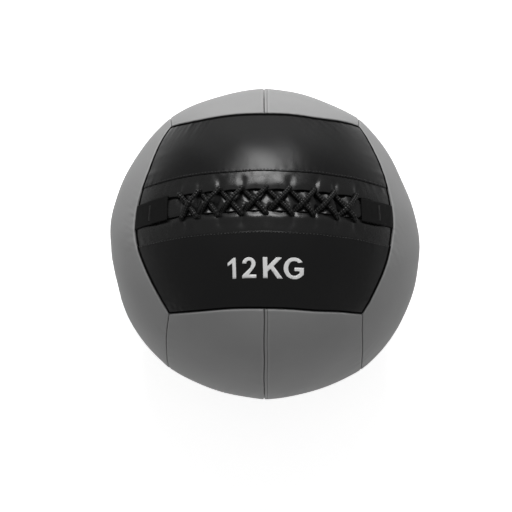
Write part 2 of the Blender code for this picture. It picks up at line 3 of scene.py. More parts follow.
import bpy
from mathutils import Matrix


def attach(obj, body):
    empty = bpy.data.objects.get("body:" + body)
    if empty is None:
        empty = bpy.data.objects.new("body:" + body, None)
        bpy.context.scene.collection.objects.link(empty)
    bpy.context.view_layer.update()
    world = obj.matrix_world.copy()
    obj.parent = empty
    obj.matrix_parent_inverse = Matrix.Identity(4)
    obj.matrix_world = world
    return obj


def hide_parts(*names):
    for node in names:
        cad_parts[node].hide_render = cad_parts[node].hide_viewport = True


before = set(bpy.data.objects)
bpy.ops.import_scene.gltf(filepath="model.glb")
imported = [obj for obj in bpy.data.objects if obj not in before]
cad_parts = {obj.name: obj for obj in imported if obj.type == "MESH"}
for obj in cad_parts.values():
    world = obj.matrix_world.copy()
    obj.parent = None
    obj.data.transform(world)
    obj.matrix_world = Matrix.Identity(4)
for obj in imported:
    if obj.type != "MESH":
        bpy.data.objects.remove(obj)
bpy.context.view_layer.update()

import math

import bmesh
import bpy
import numpy as np
from mathutils import Matrix, Vector
from mathutils.bvhtree import BVHTree

scene = bpy.context.scene


# ---------------------------------------------------------------- camera, floor and lamps
# The ball is seen from almost straight above its lacing, through a long lens. It stands on
# a white floor that turns up far behind it, in a dim, even room, under a softbox up beyond
# it and a weaker, wider one low behind it.


def place(name, data, location=(0, 0, 0), rotation=(0, 0, 0)):
    """Put new data into the scene as an object."""
    item = bpy.data.objects.new(name, data)
    scene.collection.objects.link(item)
    item.location = location
    item.rotation_euler = rotation
    return item


CENTRE = Vector((0, 0, 0.1675))
VIEW_TILT = math.radians(14.8)
VIEW_DISTANCE = 1.225

lens = bpy.data.cameras.new("photo_camera")
lens.lens = 75.2
lens.sensor_width = 36
lens.shift_x = -0.016
lens.shift_y = -0.0229
camera = place(
    "photo_camera",
    lens,
    CENTRE + VIEW_DISTANCE * Vector((0, -math.sin(VIEW_TILT), math.cos(VIEW_TILT))),
    (VIEW_TILT, 0, 0),
)
scene.camera = camera
scene.view_settings.view_transform = "Standard"


def softbox(name, direction, distance, size, power):
    """A square-cornered area lamp that faces the ball from a direction."""
    lamp = bpy.data.lights.new(name, "AREA")
    lamp.shape = "RECTANGLE"
    lamp.size, lamp.size_y = size
    lamp.energy = power
    direction = Vector(direction).normalized()
    aim = direction.to_track_quat("Z", "Y").to_euler()
    return place(name, lamp, CENTRE + distance * direction, aim)


softbox("overhead_softbox", (0.0, 0.645, 0.764), 1.5, (0.66, 0.84), 17)
softbox("beyond_softbox", (0.0, 0.97, 0.24), 2.2, (2.4, 1.0), 3)

room = bpy.data.worlds.new("room")
room.use_nodes = True
walls = room.node_tree.nodes["Background"].inputs
walls["Color"].default_value = (1, 1, 1, 1)
walls["Strength"].default_value = 0.34
scene.world = room


def fill(tree, node, values):
    """Put values on a node's inputs, or link other nodes' outputs to them."""
    for socket, value in values.items():
        if isinstance(value, bpy.types.NodeSocket):
            tree.links.new(value, node.inputs[socket])
        else:
            node.inputs[socket].default_value = value


def add_node(tree, kind, values=None, **settings):
    """A shader node with its settings, and with values or links on its inputs."""
    node = tree.nodes.new("ShaderNode" + kind)
    for key, value in settings.items():
        setattr(node, key, value)
    fill(tree, node, values or {})
    return node


def new_material(name, describe):
    """A material whose Principled shader takes what a function says, in its own tree."""
    material = bpy.data.materials.new(name)
    material.use_nodes = True
    tree = material.node_tree
    fill(tree, tree.nodes["Principled BSDF"], describe(tree))
    return material


def maths(tree, operation, *values):
    """What an operation makes of its values."""
    return add_node(tree, "Math", dict(enumerate(values)), operation=operation).outputs[0]


def map_range(tree, value, before, after, **settings):
    """A value taken from one range to another."""
    values = dict(enumerate((value, *before, *after)))
    return add_node(tree, "MapRange", values, **settings).outputs[0]


def white_floor(tree):
    """Matte white, topped up to full white where the camera or a reflection sees it."""
    rays = add_node(tree, "LightPath").outputs
    seen = maths(tree, "MAXIMUM", rays["Is Camera Ray"], rays["Is Glossy Ray"])
    seen = maths(tree, "MAXIMUM", seen, rays["Is Transmission Ray"])
    spot = add_node(tree, "TexCoord").outputs["Object"]
    reach = add_node(tree, "VectorMath", {0: spot}, operation="LENGTH").outputs["Value"]
    white = map_range(tree, reach, (0.47, 0.9), (0.76, 0.14), interpolation_type="SMOOTHSTEP")
    glow = add_node(tree, "Emission", {"Strength": maths(tree, "MULTIPLY", seen, white)})
    matte = tree.nodes["Principled BSDF"].outputs[0]
    both = add_node(tree, "AddShader", {0: matte, 1: glow.outputs[0]})
    fill(tree, tree.nodes["Material Output"], {"Surface": both.outputs[0]})
    return {"Base Color": (0.8, 0.8, 0.8, 1), "Roughness": 0.9}


def studio_floor():
    """A round floor with an upturned rim."""
    radius, rim, around = 24.0, 3.0, 72
    profile = [(2.0, 0.0), (radius, 0.0)]
    profile += [(radius + rim * math.sin(t), rim - rim * math.cos(t)) for t in (0.4, 0.8, 1.2, 1.57)]
    turns = [2 * math.pi * k / around for k in range(around)]
    sheet = bmesh.new()
    rings = [
        [sheet.verts.new((reach * math.cos(t), reach * math.sin(t), height)) for t in turns]
        for reach, height in profile
    ]
    sheet.faces.new(rings[0])
    for low, high in zip(rings, rings[1:]):
        for k in range(around):
            after = (k + 1) % around
            sheet.faces.new((low[k], high[k], high[after], low[after]))
    mesh = bpy.data.meshes.new("studio_floor")
    sheet.to_mesh(mesh)
    sheet.free()
    mesh.shade_smooth()
    mesh.materials.append(new_material("white_floor", white_floor))
    return place("studio_floor", mesh)


studio_floor()


# ------------------------------------------------------------------ the eight grey panels
# Matte grey coated fabric, cut as long panels and sewn inside out, two to a face, so that
# every edge rolls down into its seam. Their longer edges are eased in, which leaves short
# ripples along the seams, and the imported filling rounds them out.

SEAM_RADIUS = 0.1755
CORNER_SHARE = 1 / math.sqrt(3)
CORNER_AROUND = math.radians(45)
CORNER_ACROSS = math.asin(CORNER_SHARE)
LACED_REACH = math.radians(37)
SIDE_REACH = math.radians(40.2)
FRONT_REACH = math.radians(37)
PANEL_DIP = 0.002
FABRIC = 0.0009
SEAM_ROLL = 0.0021
SEAM_FOOT_RADIUS = 0.1662
SEAM_GAP = 0.0002
STITCH_PITCH = 0.0036
TOPSTITCH = 0.0032
PANEL_CELL = 0.0024
RIPPLE, RIPPLE_LENGTH = 0.00022, 0.012
FAR_FROM_SEAM = 0.02


def on_ball(around, across, radius):
    """Points at angles around and across the top face, as an array of coordinates."""
    level = radius * np.cos(across)
    around, across, radius = np.broadcast_arrays(around, across, radius)
    return np.stack((level * np.sin(around), radius * np.sin(across), level * np.cos(around)), -1)


def seam_plane(reach):
    """The plane of a long seam: across * y + outward * z = offset on a ball of radius 1."""
    across = math.cos(reach) - CORNER_SHARE
    outward = CORNER_SHARE - math.sin(reach)
    return across, outward, CORNER_SHARE * (math.cos(reach) - math.sin(reach))


def long_seam_across(around, reach):
    """The angle across a face at which its long seam runs."""
    across, outward, offset = seam_plane(reach)
    outward = outward * np.cos(around)
    return np.arcsin(offset / np.hypot(across, outward)) - np.arctan2(outward, across)


def end_seam_around(across_angle, neighbour_reach):
    """The angle around the ball at which a face ends: the long seam of its neighbour."""
    across, outward, offset = seam_plane(neighbour_reach)
    turn = np.arccos(offset / (math.hypot(across, outward) * np.cos(across_angle)))
    return turn + math.atan2(outward, across)


# Where the filling and the sewing push the cover off a true ball: degrees around and
# across the laced face, the push's width in degrees, then mm along, across and outward.
OUTLINE_BULGES = (
    (82, -2, 1.7), (75, 21, -2.0), (64, 42, 2.1), (39, 61, 1.6), (-15, 66, 0.8),
    (-54, 52, 2.7), (-70, 32, 1.3), (-79, 9, 1.7), (-85, -14, -3.0), (-91, -37, 0.6),
    (-99, -60, 0.9), (109, -71, 1.6), (94, -48, 4.3), (88, -25, 2.1),
)
COVER_PUSHES = [(around, across, 15, 0, 0, out) for around, across, out in OUTLINE_BULGES]
COVER_PUSHES += [
    (-45, 16, 12, 5.3, -1.4, 0), (-51, -5, 12, -4.0, 0.9, 0), (-46, -29, 12, 4.7, -0.8, 0),
    (46, 33, 10, 1.5, 2.5, 1.3), (49, -5, 14, 2.4, 0.5, 0), (-47, 38, 10, -1.0, 4.5, 1.2),
    (41, 38, 9, 1.2, 2.6, 0.8), (0, -37, 12, 0, 2.1, 0), (-17, -37, 10, 0, 1.1, 0),
]


def settled(points):
    """The whole cover's slow unevenness: every piece on it moves with it."""
    outward = points / np.linalg.norm(points, axis=-1, keepdims=True)
    x, y, z = (points[..., axis] for axis in range(3))
    lump = np.sin(31 * x + 1.3) * np.sin(27 * y + 0.4) + 0.7 * np.sin(37 * z + 23 * x - 0.8)
    moved = points + outward * (0.0003 * lump * np.sin(29 * y - 17 * z + 2.1))[..., None]
    wander = (118 * y + 61 * z + 0.9, 107 * x - 73 * z + 2.2, 97 * x + 89 * y + 4.0)
    moved = moved + 0.0002 * np.sin(np.stack(wander, -1))
    for around, across, width, push_along, push_across, push_out in COVER_PUSHES:
        turn, rise = math.radians(around), math.radians(across)
        spot = on_ball(turn, rise, 1.0)
        ahead = on_ball(turn + math.pi / 2, 0.0, 1.0)
        push = push_along * ahead + push_across * np.cross(spot, ahead) + push_out * spot
        apart = np.degrees(np.arccos(np.clip(outward @ spot, -1, 1)))
        moved = moved + 0.001 * np.exp(-((apart / width) ** 2))[..., None] * push
    sag = -0.0016 * np.exp(-(((y - 0.020) / 0.035) ** 2)) * np.clip(z / 0.09, 0, 1) ** 2
    return moved + sag[..., None] * np.array((0.0, 1.0, 0.0))


def gathers(along, from_seam, seed, height, depth):
    """Short uneven ripples that run into a seam and die away from it."""
    rng = np.random.default_rng(seed)
    ripple = 0.0
    for wave in (0.0087, 0.0121, 0.0168, 0.0243):
        fan = 1 + 6 * from_seam * rng.uniform(-1, 1)
        height_share, lag = rng.uniform(0.4, 1.0), rng.uniform(0, 2 * math.pi)
        ripple = ripple + height_share * np.sin(2 * math.pi * along * fan / wave + lag)
    strength = 0.5 + 0.5 * np.sin(along / 0.031 + rng.uniform(0, 2 * math.pi))
    start = 1 - np.exp(-from_seam / 0.0012)
    return height * strength * ripple * start * np.exp(-from_seam / depth)


def even_steps(length, first_roll):
    """Distances across a panel: close together over its rolled edges, even between."""
    turns = np.radians((90, 74, 58, 42, 26, 10))
    low = first_roll * (1 - np.sin(turns))
    high = length - SEAM_ROLL * (1 - np.sin(turns))
    cells = int((length - first_roll - SEAM_ROLL) / PANEL_CELL)
    middle = np.linspace(first_roll * 1.15, length - SEAM_ROLL * 1.15, cells)
    return np.concatenate((low, middle, high[::-1]))


def rolled(distance, roll=SEAM_ROLL):
    """A sheet's share of its roll into a seam, at a distance from the seam."""
    return np.clip(1 - distance / roll, 0, 1) ** 2


def fallen(share, roll=SEAM_ROLL):
    """How far a sheet has rolled down at a share of its roll."""
    return roll * (1 - np.sqrt(1 - np.minimum(1, share)))


def lapped_dip(share):
    """The dip of a face whose seam lies raised: 0 at both ends, 1 at two thirds."""
    return 27 / 4 * share**2 * (1 - share)


def panel_points(
    reach, neighbour_reach, seed, first=0.0, edge_roll=SEAM_ROLL, rests=False, topstitch=False
):
    """The outer skin of one panel, with its distances along and across it.

    The panel lies on the far half of the top face, from its angle first on. A panel that
    rests is pressed flat, and a topstitched one has a row of stitches beside its face's
    middle seam.
    """
    inset = SEAM_GAP / 2 / SEAM_RADIUS
    length = 2 * float(end_seam_around(0.0, neighbour_reach)) * SEAM_RADIUS
    width = (reach - first) * SEAM_RADIUS
    a = even_steps(length, SEAM_ROLL)[:, None]
    b = even_steps(width, edge_roll)
    if topstitch:
        b = np.sort(np.concatenate((b, TOPSTITCH + 0.0003 * np.arange(-2, 3))))
    b = b[None, :]
    along_share, across_share = 2 * a / length - 1, b / width
    high = long_seam_across(along_share * CORNER_AROUND, reach) - inset
    low = first if first else inset
    side = first + across_share * (CORNER_ACROSS - first)
    around = along_share * (end_seam_around(side, neighbour_reach) - inset)
    across = low + across_share * (high - low)
    to_end, to_high = np.minimum(a, length - a), width - b
    if first:
        dip = lapped_dip(across_share)
        pucker = 0.00016 * np.cos(2 * math.pi * a / STITCH_PITCH) * np.exp(-b / 0.0022)
        pucker = pucker + gathers(a, b, seed + 2, 0.00009, 0.008)
    else:
        dip = 4 * across_share * (1 - across_share)
        pucker = gathers(a, b, seed + 2, 0.00018, 0.010)
    level = SEAM_RADIUS - PANEL_DIP * dip * (1 - along_share**4) + pucker
    level = level + gathers(a, to_high, seed, RIPPLE, RIPPLE_LENGTH)
    level = level + gathers(b, to_end, seed + 1, RIPPLE, RIPPLE_LENGTH)
    if topstitch:
        tuck = 0.75 + 0.25 * np.cos(2 * math.pi * a / STITCH_PITCH)
        level = level - 0.00045 * tuck * np.exp(-(((b - TOPSTITCH) / 0.00035) ** 2))
    if rests:
        level = np.minimum(level, CENTRE.z / (np.cos(around) * np.cos(across)))
    far_drop = fallen(rolled(to_end) + rolled(to_high))
    near_drop = fallen(rolled(to_end) + rolled(b, edge_roll), edge_roll)
    to_seam = np.minimum(to_end, to_high)
    if not first:
        to_seam = np.minimum(to_seam, b)
    # A topstitched row counts as a seam for the painted seam shade, so the colour is darkened along it
    # too.
    if topstitch:
        to_seam = np.minimum(to_seam, np.abs(b - TOPSTITCH))
    points = on_ball(around, across, level - np.maximum(far_drop, near_drop))
    return points, a + 0 * b, b + 0 * a, to_seam + 0 * around


def turned_to(across, normal):
    """The turn that takes the top face's far half to another half face."""
    across, normal = Vector(across), Vector(normal)
    return np.array(Matrix((across.cross(normal), across, normal)).transposed())


def in_place(points):
    """Points about the ball's middle, settled and put where the ball stands."""
    return settled(points) + np.array(CENTRE)


def cloth_mesh(name, points, faces, cloth, seam_shading=None):
    """A mesh with its cloth coordinates in metres, and its distance from the seams, which the painted
    seam shade and highlight follow.
    """
    mesh = bpy.data.meshes.new(name)
    mesh.from_pydata(points.reshape(-1, 3).tolist(), [], faces)
    if seam_shading is None:
        seam_shading = np.full(len(mesh.vertices), FAR_FROM_SEAM)
    corners = np.empty(len(mesh.loops), dtype=np.int64)
    mesh.loops.foreach_get("vertex_index", corners)
    layer = mesh.uv_layers.new(name="cloth")
    layer.data.foreach_set("uv", cloth.reshape(-1, 2)[corners].astype(np.float32).ravel())
    mark = mesh.attributes.new("from_seam", "FLOAT", "POINT")
    mark.data.foreach_set("value", seam_shading.astype(np.float32).ravel())
    mesh.validate()
    mesh.shade_smooth()
    return mesh


def grid_faces(rows, columns):
    """The four-sided faces of a sheet of points."""
    index = np.arange(rows * columns).reshape(rows, columns)
    quads = (index[:-1, :-1], index[1:, :-1], index[1:, 1:], index[:-1, 1:])
    return np.stack(quads, -1).reshape(-1, 4).tolist()


def drop_loose_points(mesh):
    """Take away the points that no face uses."""
    sheet = bmesh.new()
    sheet.from_mesh(mesh)
    bmesh.ops.delete(sheet, geom=[point for point in sheet.verts if not point.link_faces])
    sheet.to_mesh(mesh)
    sheet.free()


def sewn_panel_mesh(name, skin, turn, is_open=False):
    """A panel's skin with its seam allowance turned in, in its place on the ball."""
    points, along, across, to_seam = skin
    rows, columns = points.shape[:2]
    index = np.arange(rows * columns).reshape(rows, columns)
    ring = list(index[-1, :-1]) + list(index[:0:-1, -1]) + list(index[0, ::-1])
    if not is_open:
        ring += list(index[1:, 0])
    flat = points.reshape(-1, 3)
    rim = flat[ring]
    feet = rim * (SEAM_FOOT_RADIUS / np.linalg.norm(rim, axis=1, keepdims=True))
    faces = grid_faces(rows, columns)
    start = len(flat)
    for step, (corner, following) in enumerate(zip(ring, ring[1:])):
        faces.append([int(corner), start + step, start + step + 1, int(following)])
    if not is_open:
        faces[-1][2] = start
        feet, ring = feet[:-1], ring[:-1]
    cloth = np.stack((along, across), -1).reshape(-1, 2)
    seam_shading = to_seam.reshape(-1)
    every = in_place(np.concatenate((flat, feet)) @ turn.T)
    every[:, 2] = np.maximum(every[:, 2], 0.0)
    cloth = np.concatenate((cloth, cloth[ring]))
    return cloth_mesh(name, every, faces, cloth, np.concatenate((seam_shading, 0 * seam_shading[ring])))


def mount(name, mesh, materials, node=None, thickness=0.0):
    """A piece on the frame in its node's place, its fabric's thickness inwards of its skin."""
    for material in materials:
        mesh.materials.append(material)
    piece = place(name, mesh)
    if thickness:
        shell = piece.modifiers.new("Fabric", "SOLIDIFY")
        shell.thickness = thickness
        shell.offset = -1.0
        shell.use_even_offset = False
    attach(piece, "root")
    if node:
        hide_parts(node)
    return piece


def new_group(name, inputs, outputs):
    """A shader node group that takes numbers and gives numbers."""
    group = bpy.data.node_groups.new(name, "ShaderNodeTree")
    sockets = {"socket_type": "NodeSocketFloat"}
    for socket, value in inputs.items():
        group.interface.new_socket(name=socket, in_out="INPUT", **sockets).default_value = value
    for socket in outputs:
        group.interface.new_socket(name=socket, in_out="OUTPUT", **sockets)
    given = group.nodes.new("NodeGroupInput").outputs
    return group, given, group.nodes.new("NodeGroupOutput")


def noise(tree, scale, detail, distortion=0.0):
    """Noise that lies still in a piece."""
    spot = add_node(tree, "TexCoord").outputs["Object"]
    values = {"Vector": spot, "Scale": scale, "Detail": detail, "Distortion": distortion}
    return add_node(tree, "TexNoise", values).outputs[0]


def coated_grain_group():
    """The fine pebbled grain of coated fabric, with its slow unevenness of tone."""
    group, given, out = new_group("coated_grain", {"grain": 0.0011}, ("Height", "Tone"))
    spot = add_node(group, "TexCoord").outputs["Object"]
    scale = maths(group, "DIVIDE", 1.0, given["grain"])
    values = {"Vector": spot, "Scale": scale}
    pebbles = add_node(group, "TexVoronoi", values, feature="SMOOTH_F1").outputs["Distance"]
    height = maths(group, "MULTIPLY_ADD", noise(group, 260.0, 5.0), 0.8, pebbles)
    tone = map_range(group, noise(group, 14.0, 3.0), (0.3, 0.7), (0.0, 1.0))
    fill(group, out, {"Height": height, "Tone": tone})
    return group


def seam_painted_light_group():
    """A mask of 1 in the fold of a seam, for painted shade there, and one of 1 on a crest beside it,
    for a painted highlight.
    """
    widths = {"fold": 0.0012, "crest": 0.004}
    group, given, out = new_group("seam_painted_light", widths, ("Fold", "Crest"))
    seam = add_node(group, "Attribute", attribute_name="from_seam").outputs["Fac"]
    fold, far = (
        map_range(group, seam, (0.0, given[width]), (1.0, 0.0), interpolation_type="SMOOTHSTEP")
        for width in widths
    )
    fill(group, out, {"Fold": fold, "Crest": maths(group, "SUBTRACT", far, fold)})
    return group


COATED_GRAIN = coated_grain_group()
SEAM_PAINTED_LIGHT = seam_painted_light_group()


def use_group(tree, group, **values):
    """The outputs of a group in a material, with values on its inputs."""
    return add_node(tree, "Group", values, node_tree=group).outputs


def blend_colours(tree, factor, *colours):
    """A colour between two, each a link, a grey, or its red, green and blue."""
    values = {0: factor}
    for socket, colour in zip((6, 7), colours):
        if isinstance(colour, float):
            colour = (colour, colour, colour)
        values[socket] = (*colour, 1.0) if isinstance(colour, tuple) else colour
    return add_node(tree, "Mix", values, data_type="RGBA").outputs[2]


def bump(tree, height, strength, distance, under=None, **settings):
    """A normal that follows a height, on top of the relief under it."""
    values = {"Height": height, "Strength": strength, "Distance": distance}
    if under is not None:
        values["Normal"] = under
    return add_node(tree, "Bump", values, **settings).outputs[0]


def grey_cloth(tree):
    """Matte grey coated fabric with a fine pebbled grain, with painted shade in the folds of its seams
    and a painted highlight on the crests beside them.
    """
    grain = use_group(tree, COATED_GRAIN, grain=0.0010)
    seam_shading = use_group(tree, SEAM_PAINTED_LIGHT, fold=0.0008)
    tone = blend_colours(tree, grain["Tone"], (0.285, 0.285, 0.286), 0.320)
    # Painted highlight: lighter grey on the crest beside each seam.
    tone = blend_colours(tree, seam_shading["Crest"], tone, 0.345)
    return {
        # Painted shade: darker grey in the fold of each seam and along the topstitched rows.
        "Base Color": blend_colours(tree, seam_shading["Fold"], tone, 0.15),
        "Roughness": map_range(tree, grain["Tone"], (0.0, 1.0), (0.60, 0.70)),
        "Specular IOR Level": 0.35,
        "Normal": bump(tree, grain["Height"], 0.35, 0.00012),
    }


GREY_CLOTH = new_material("grey_coated_cloth", grey_cloth)
GREY_PLACES = {
    "far_left_panel": ((-1, 0, 0), (0, 1, 0)),
    "far_right_panel": ((1, 0, 0), (0, 1, 0)),
    "near_left_panel": ((-1, 0, 0), (0, -1, 0)),
    "near_right_panel": ((1, 0, 0), (0, -1, 0)),
    "left_upper_panel": ((0, 0, 1), (-1, 0, 0)),
    "left_lower_panel": ((0, 0, -1), (-1, 0, 0)),
    "right_upper_panel": ((0, 0, 1), (1, 0, 0)),
    "right_lower_panel": ((0, 0, -1), (1, 0, 0)),
}
for count, (name, (across, normal)) in enumerate(GREY_PLACES.items()):
    reaches = (SIDE_REACH, FRONT_REACH) if normal[0] else (FRONT_REACH, LACED_REACH)
    is_topstitched = name.endswith(("right_panel", "upper_panel"))
    skin = panel_points(*reaches, 10 * count + 1, topstitch=is_topstitched)
    mesh = sewn_panel_mesh(name, skin, turned_to(across, normal))
    panel = mount("grey_" + name, mesh, [GREY_CLOTH], name, FABRIC)


# ------------------------------------------------------------ the four black cover panels
# Black coated fabric with a fine diamond emboss and a satin finish. The two base panels
# are pressed flat where the ball rests. The two laced panels end short of the slit, and
# their edges are stitched down over the facings.

STITCH_LINE = 0.0318
LAP_ROLL = 0.0007
EMBOSS_PITCH = 0.0024
# How far from the long seams and from the end seams the painted shade of a seam's edge reaches.
SIDE_SHADE = SEAM_ROLL * 1.1
END_SHADE = 0.0042


def cloth_axes(tree):
    """The lengths along and across a piece's own cloth, in metres."""
    cloth = add_node(tree, "UVMap", uv_map="cloth").outputs[0]
    return add_node(tree, "SeparateXYZ", {"Vector": cloth}).outputs[:2]


def crossed_waves(tree, values, rates, shape, operation="MULTIPLY"):
    """Two waves across each other, each of a value that turns at its own rate."""
    turns = [maths(tree, "MULTIPLY", value, rate) for value, rate in zip(values, rates)]
    return maths(tree, operation, *(maths(tree, shape, turn) for turn in turns))


def black_emboss(tree):
    """Satin black with the diamond emboss, a little smoother on its crests, with painted shade in the
    folds of its seams.
    """
    leans = [maths(tree, operation, *cloth_axes(tree)) for operation in ("ADD", "SUBTRACT")]
    diamonds = crossed_waves(tree, leans, [2 * math.pi / EMBOSS_PITCH] * 2, "COSINE")
    grain = use_group(tree, COATED_GRAIN, grain=0.0007)
    seam_shading = use_group(tree, SEAM_PAINTED_LIGHT, fold=0.0030)
    tone = blend_colours(tree, grain["Tone"], (0.0045, 0.0045, 0.0047), (0.0065, 0.0065, 0.0067))
    rough = map_range(tree, diamonds, (-1.0, 1.0), (0.28, 0.22))
    fine = bump(tree, grain["Height"], 0.25, 0.00008)
    return {
        # Painted shade: near-black in the fold of each seam, where the fold is also rougher.
        "Base Color": blend_colours(tree, seam_shading["Fold"], tone, 0.001),
        "Roughness": maths(tree, "MULTIPLY_ADD", seam_shading["Fold"], 0.6, rough),
        "Specular IOR Level": 0.28,
        "Normal": bump(tree, diamonds, 0.6, 0.00004, fine),
    }


def seam_shade(tree):
    """Painted shade on the black fabric's edge where it rolls down into a seam: near-black, matt and
    hardly glossy, standing in for the shade in the seam's groove.
    """
    grain = use_group(tree, COATED_GRAIN, grain=0.0007)
    return {
        "Base Color": blend_colours(tree, grain["Tone"], 0.001, 0.003),
        "Roughness": 0.95,
        "Specular IOR Level": 0.05,
        "Normal": bump(tree, grain["Height"], 0.25, 0.00008),
    }


SEAM_SHADE = new_material("black_seam_painted_shade", seam_shade)
BLACK_EMBOSS = new_material("black_embossed_cloth", black_emboss)


def shade_edge(mesh, distance, reach):
    """Give the faces within reach of a seam the painted shade of its edge, the mesh's second material.
    """
    for face in mesh.polygons:
        if distance[list(face.vertices)].mean() < reach:
            face.material_index = 1


def sewn_black_panel(name, node, skin, turn, side_shade, is_open=False):
    """A panel of the embossed fabric, with painted shade on its edge along every sewn seam."""
    mesh = sewn_panel_mesh(node, skin, turn, is_open)
    to_end = np.minimum(skin[1], skin[1].max() - skin[1])
    for sheet, reach in ((skin[3], side_shade), (to_end, END_SHADE)):
        distance = np.zeros(len(mesh.vertices))
        distance[: sheet.size] = sheet.reshape(-1)
        shade_edge(mesh, distance, reach)
    panel = mount(name, mesh, [BLACK_EMBOSS, SEAM_SHADE], node, FABRIC)
    return panel


def skin_tree(piece):
    """A piece's skin, ready to be hit by a line."""
    corners = [vertex.co for vertex in piece.data.vertices]
    return BVHTree.FromPolygons(corners, [tuple(face.vertices) for face in piece.data.polygons])


for seed, name, across in ((101, "base_far_panel", (0, 1, 0)), (111, "base_near_panel", (0, -1, 0))):
    skin = panel_points(LACED_REACH, SIDE_REACH, seed, rests=True)
    sewn_black_panel("black_" + name, name, skin, turned_to(across, (0, 0, -1)), SIDE_SHADE)

LACED_SKINS = {}
stitch_across = math.asin(STITCH_LINE / SEAM_RADIUS)
for seed, name, side in ((141, "upper_black_panel", 1), (151, "lower_black_panel", -1)):
    skin = panel_points(LACED_REACH, SIDE_REACH, seed, stitch_across, LAP_ROLL)
    turn = turned_to((0, side, 0), (0, 0, 1))
    # The upper laced panel gets the wider painted shade along its far seam, as at its ends.
    shade = END_SHADE if side > 0 else SIDE_SHADE
    panel = sewn_black_panel("embossed_" + name, name, skin, turn, shade, is_open=True)
    LACED_SKINS[side] = skin_tree(panel)


# --------------------------------------------------------------------- the two facings
# Smooth black coated fabric, sewn under the laced panels, folded back along the slit and
# punched with nine holes a side. The lace draws it in at the holes, so the hems are
# scalloped, a crease runs out from every hole, and the fabric swells between them.

FACING = 0.0007
FACING_TOP = -0.00095
FACING_LAP = 0.006
HEM_LINES = {1: 0.0121, -1: 0.0105}
HEM_SCALLOP = 0.0009
HEM_CLOSED_LINE = 0.003
HEM_ALLOWANCE = 0.009
FOLD_RADIUS = FACING + 0.00010
HOLE_PITCH = 0.0233
HOLE_OFFSET = 0.003
HOLE_LINES = {1: 0.0147, -1: 0.0131}
HOLE_RADIUS = 0.0019
LAST_HOLE = 4 * HOLE_PITCH
HOLE_WANDER = {
    1: (-1.1, -0.6, -1.9, -1.7, -0.2, -0.2, 3.0, 1.4, 4.6),
    -1: (2.4, -2.4, -2.4, -1.5, -0.4, 2.5, 1.4, 4.0, 1.6),
}
CREASE_DEPTHS = {
    1: (0.9, 1.0, 1.2, 0.8, 0.2, 0.9, 1.7, 1.7, 1.4),
    -1: (1.2, 0.9, 1.0, 1.1, 0.5, 0.9, 1.0, 1.2, 1.2),
}
HOLE_PLACES = {
    side: [HOLE_OFFSET + (hole - 4) * HOLE_PITCH + shift / 1000 for hole, shift in enumerate(wander)]
    for side, wander in HOLE_WANDER.items()
}
TAB_INNER_END = LAST_HOLE + 0.0123
LACE_TURN = TAB_INNER_END + 0.009
ROLL_STEPS = SEAM_ROLL * (1 - np.sin(np.radians((90, 72, 54, 36, 18))))


def at_slit(along, across, height):
    """Points at lengths along the slit, at ones across it, and above the seam radius."""
    return on_ball(
        np.asarray(along) / SEAM_RADIUS,
        np.arcsin(np.asarray(across) / SEAM_RADIUS),
        SEAM_RADIUS + np.asarray(height),
    )


def eased(value, start, end):
    """A share that rises smoothly from 0 at the start to 1 at the end."""
    share = np.clip((value - start) / (end - start), 0, 1)
    return share * share * (3 - 2 * share)


def hem_pull(along, side):
    """1 at every hole, where the lace draws the hem in, and 0 between them."""
    places = HOLE_PLACES[side]
    knots = [places[0] - HOLE_PITCH / 2]
    for place_before, place_after in zip(places, places[1:]):
        knots += [place_before, (place_before + place_after) / 2]
    knots += [places[-1], places[-1] + HOLE_PITCH / 2]
    turn = np.interp(along, knots, np.arange(len(knots)))
    return np.sin(math.pi * turn / 2) ** 2


def slit_end(across):
    """How far along the slit the end seam lies, at a distance across it."""
    return end_seam_around(np.arcsin(across / SEAM_RADIUS), SIDE_REACH) * SEAM_RADIUS


def hem_line(along, side):
    """Half the slit's width, least at the holes, and closing up under the tabs."""
    line = HEM_LINES[side] + HEM_SCALLOP * (1 - hem_pull(along, side))
    closed = eased(np.abs(along), LACE_TURN + 0.005, float(slit_end(0.0)))
    return line + (HEM_CLOSED_LINE - line) * closed


def slit_sink(across):
    """How far the tight lace draws the middle of the laced face down."""
    return -0.0010 * np.exp(-((across / 0.017) ** 2))


def facing_relief(along, across, side):
    """Creases that run out from the holes, and the swelling between them."""
    from_hem = across - hem_line(along, side)
    relief = 0.0
    fade = eased(-across, -STITCH_LINE + 0.001, -STITCH_LINE + 0.0105)
    rng = np.random.default_rng(5 + side)
    for hole, depth in zip(HOLE_PLACES[side], CREASE_DEPTHS[side]):
        reach = np.maximum(0, across - HOLE_LINES[side])
        lean = rng.uniform(-0.10, 0.10)
        width = 0.0028 + 0.09 * reach
        crease = np.exp(-(((along - hole - lean * reach) / width) ** 2))
        relief = relief - depth / 1000 * crease * fade
    places = HOLE_PLACES[side]
    inside = (along > places[0] - HOLE_PITCH / 2) & (along < places[-1] + HOLE_PITCH / 2)
    swell = (1 - hem_pull(along, side)) * np.where(inside, 1.0, 0.3)
    height, fall = (0.0002, 0.0003) if side > 0 else (0.0005, 0.0015)
    relief = relief + height * swell * np.exp(-(((from_hem - 0.0060) / 0.0050) ** 2))
    relief = relief - fall * np.exp(-((np.maximum(from_hem, 0) / 0.0036) ** 2))
    pucker = gathers(along, STITCH_LINE - across, 31 + side, 0.00016, 0.006)
    return relief + np.where(across < STITCH_LINE - 0.0005, pucker, 0.0)


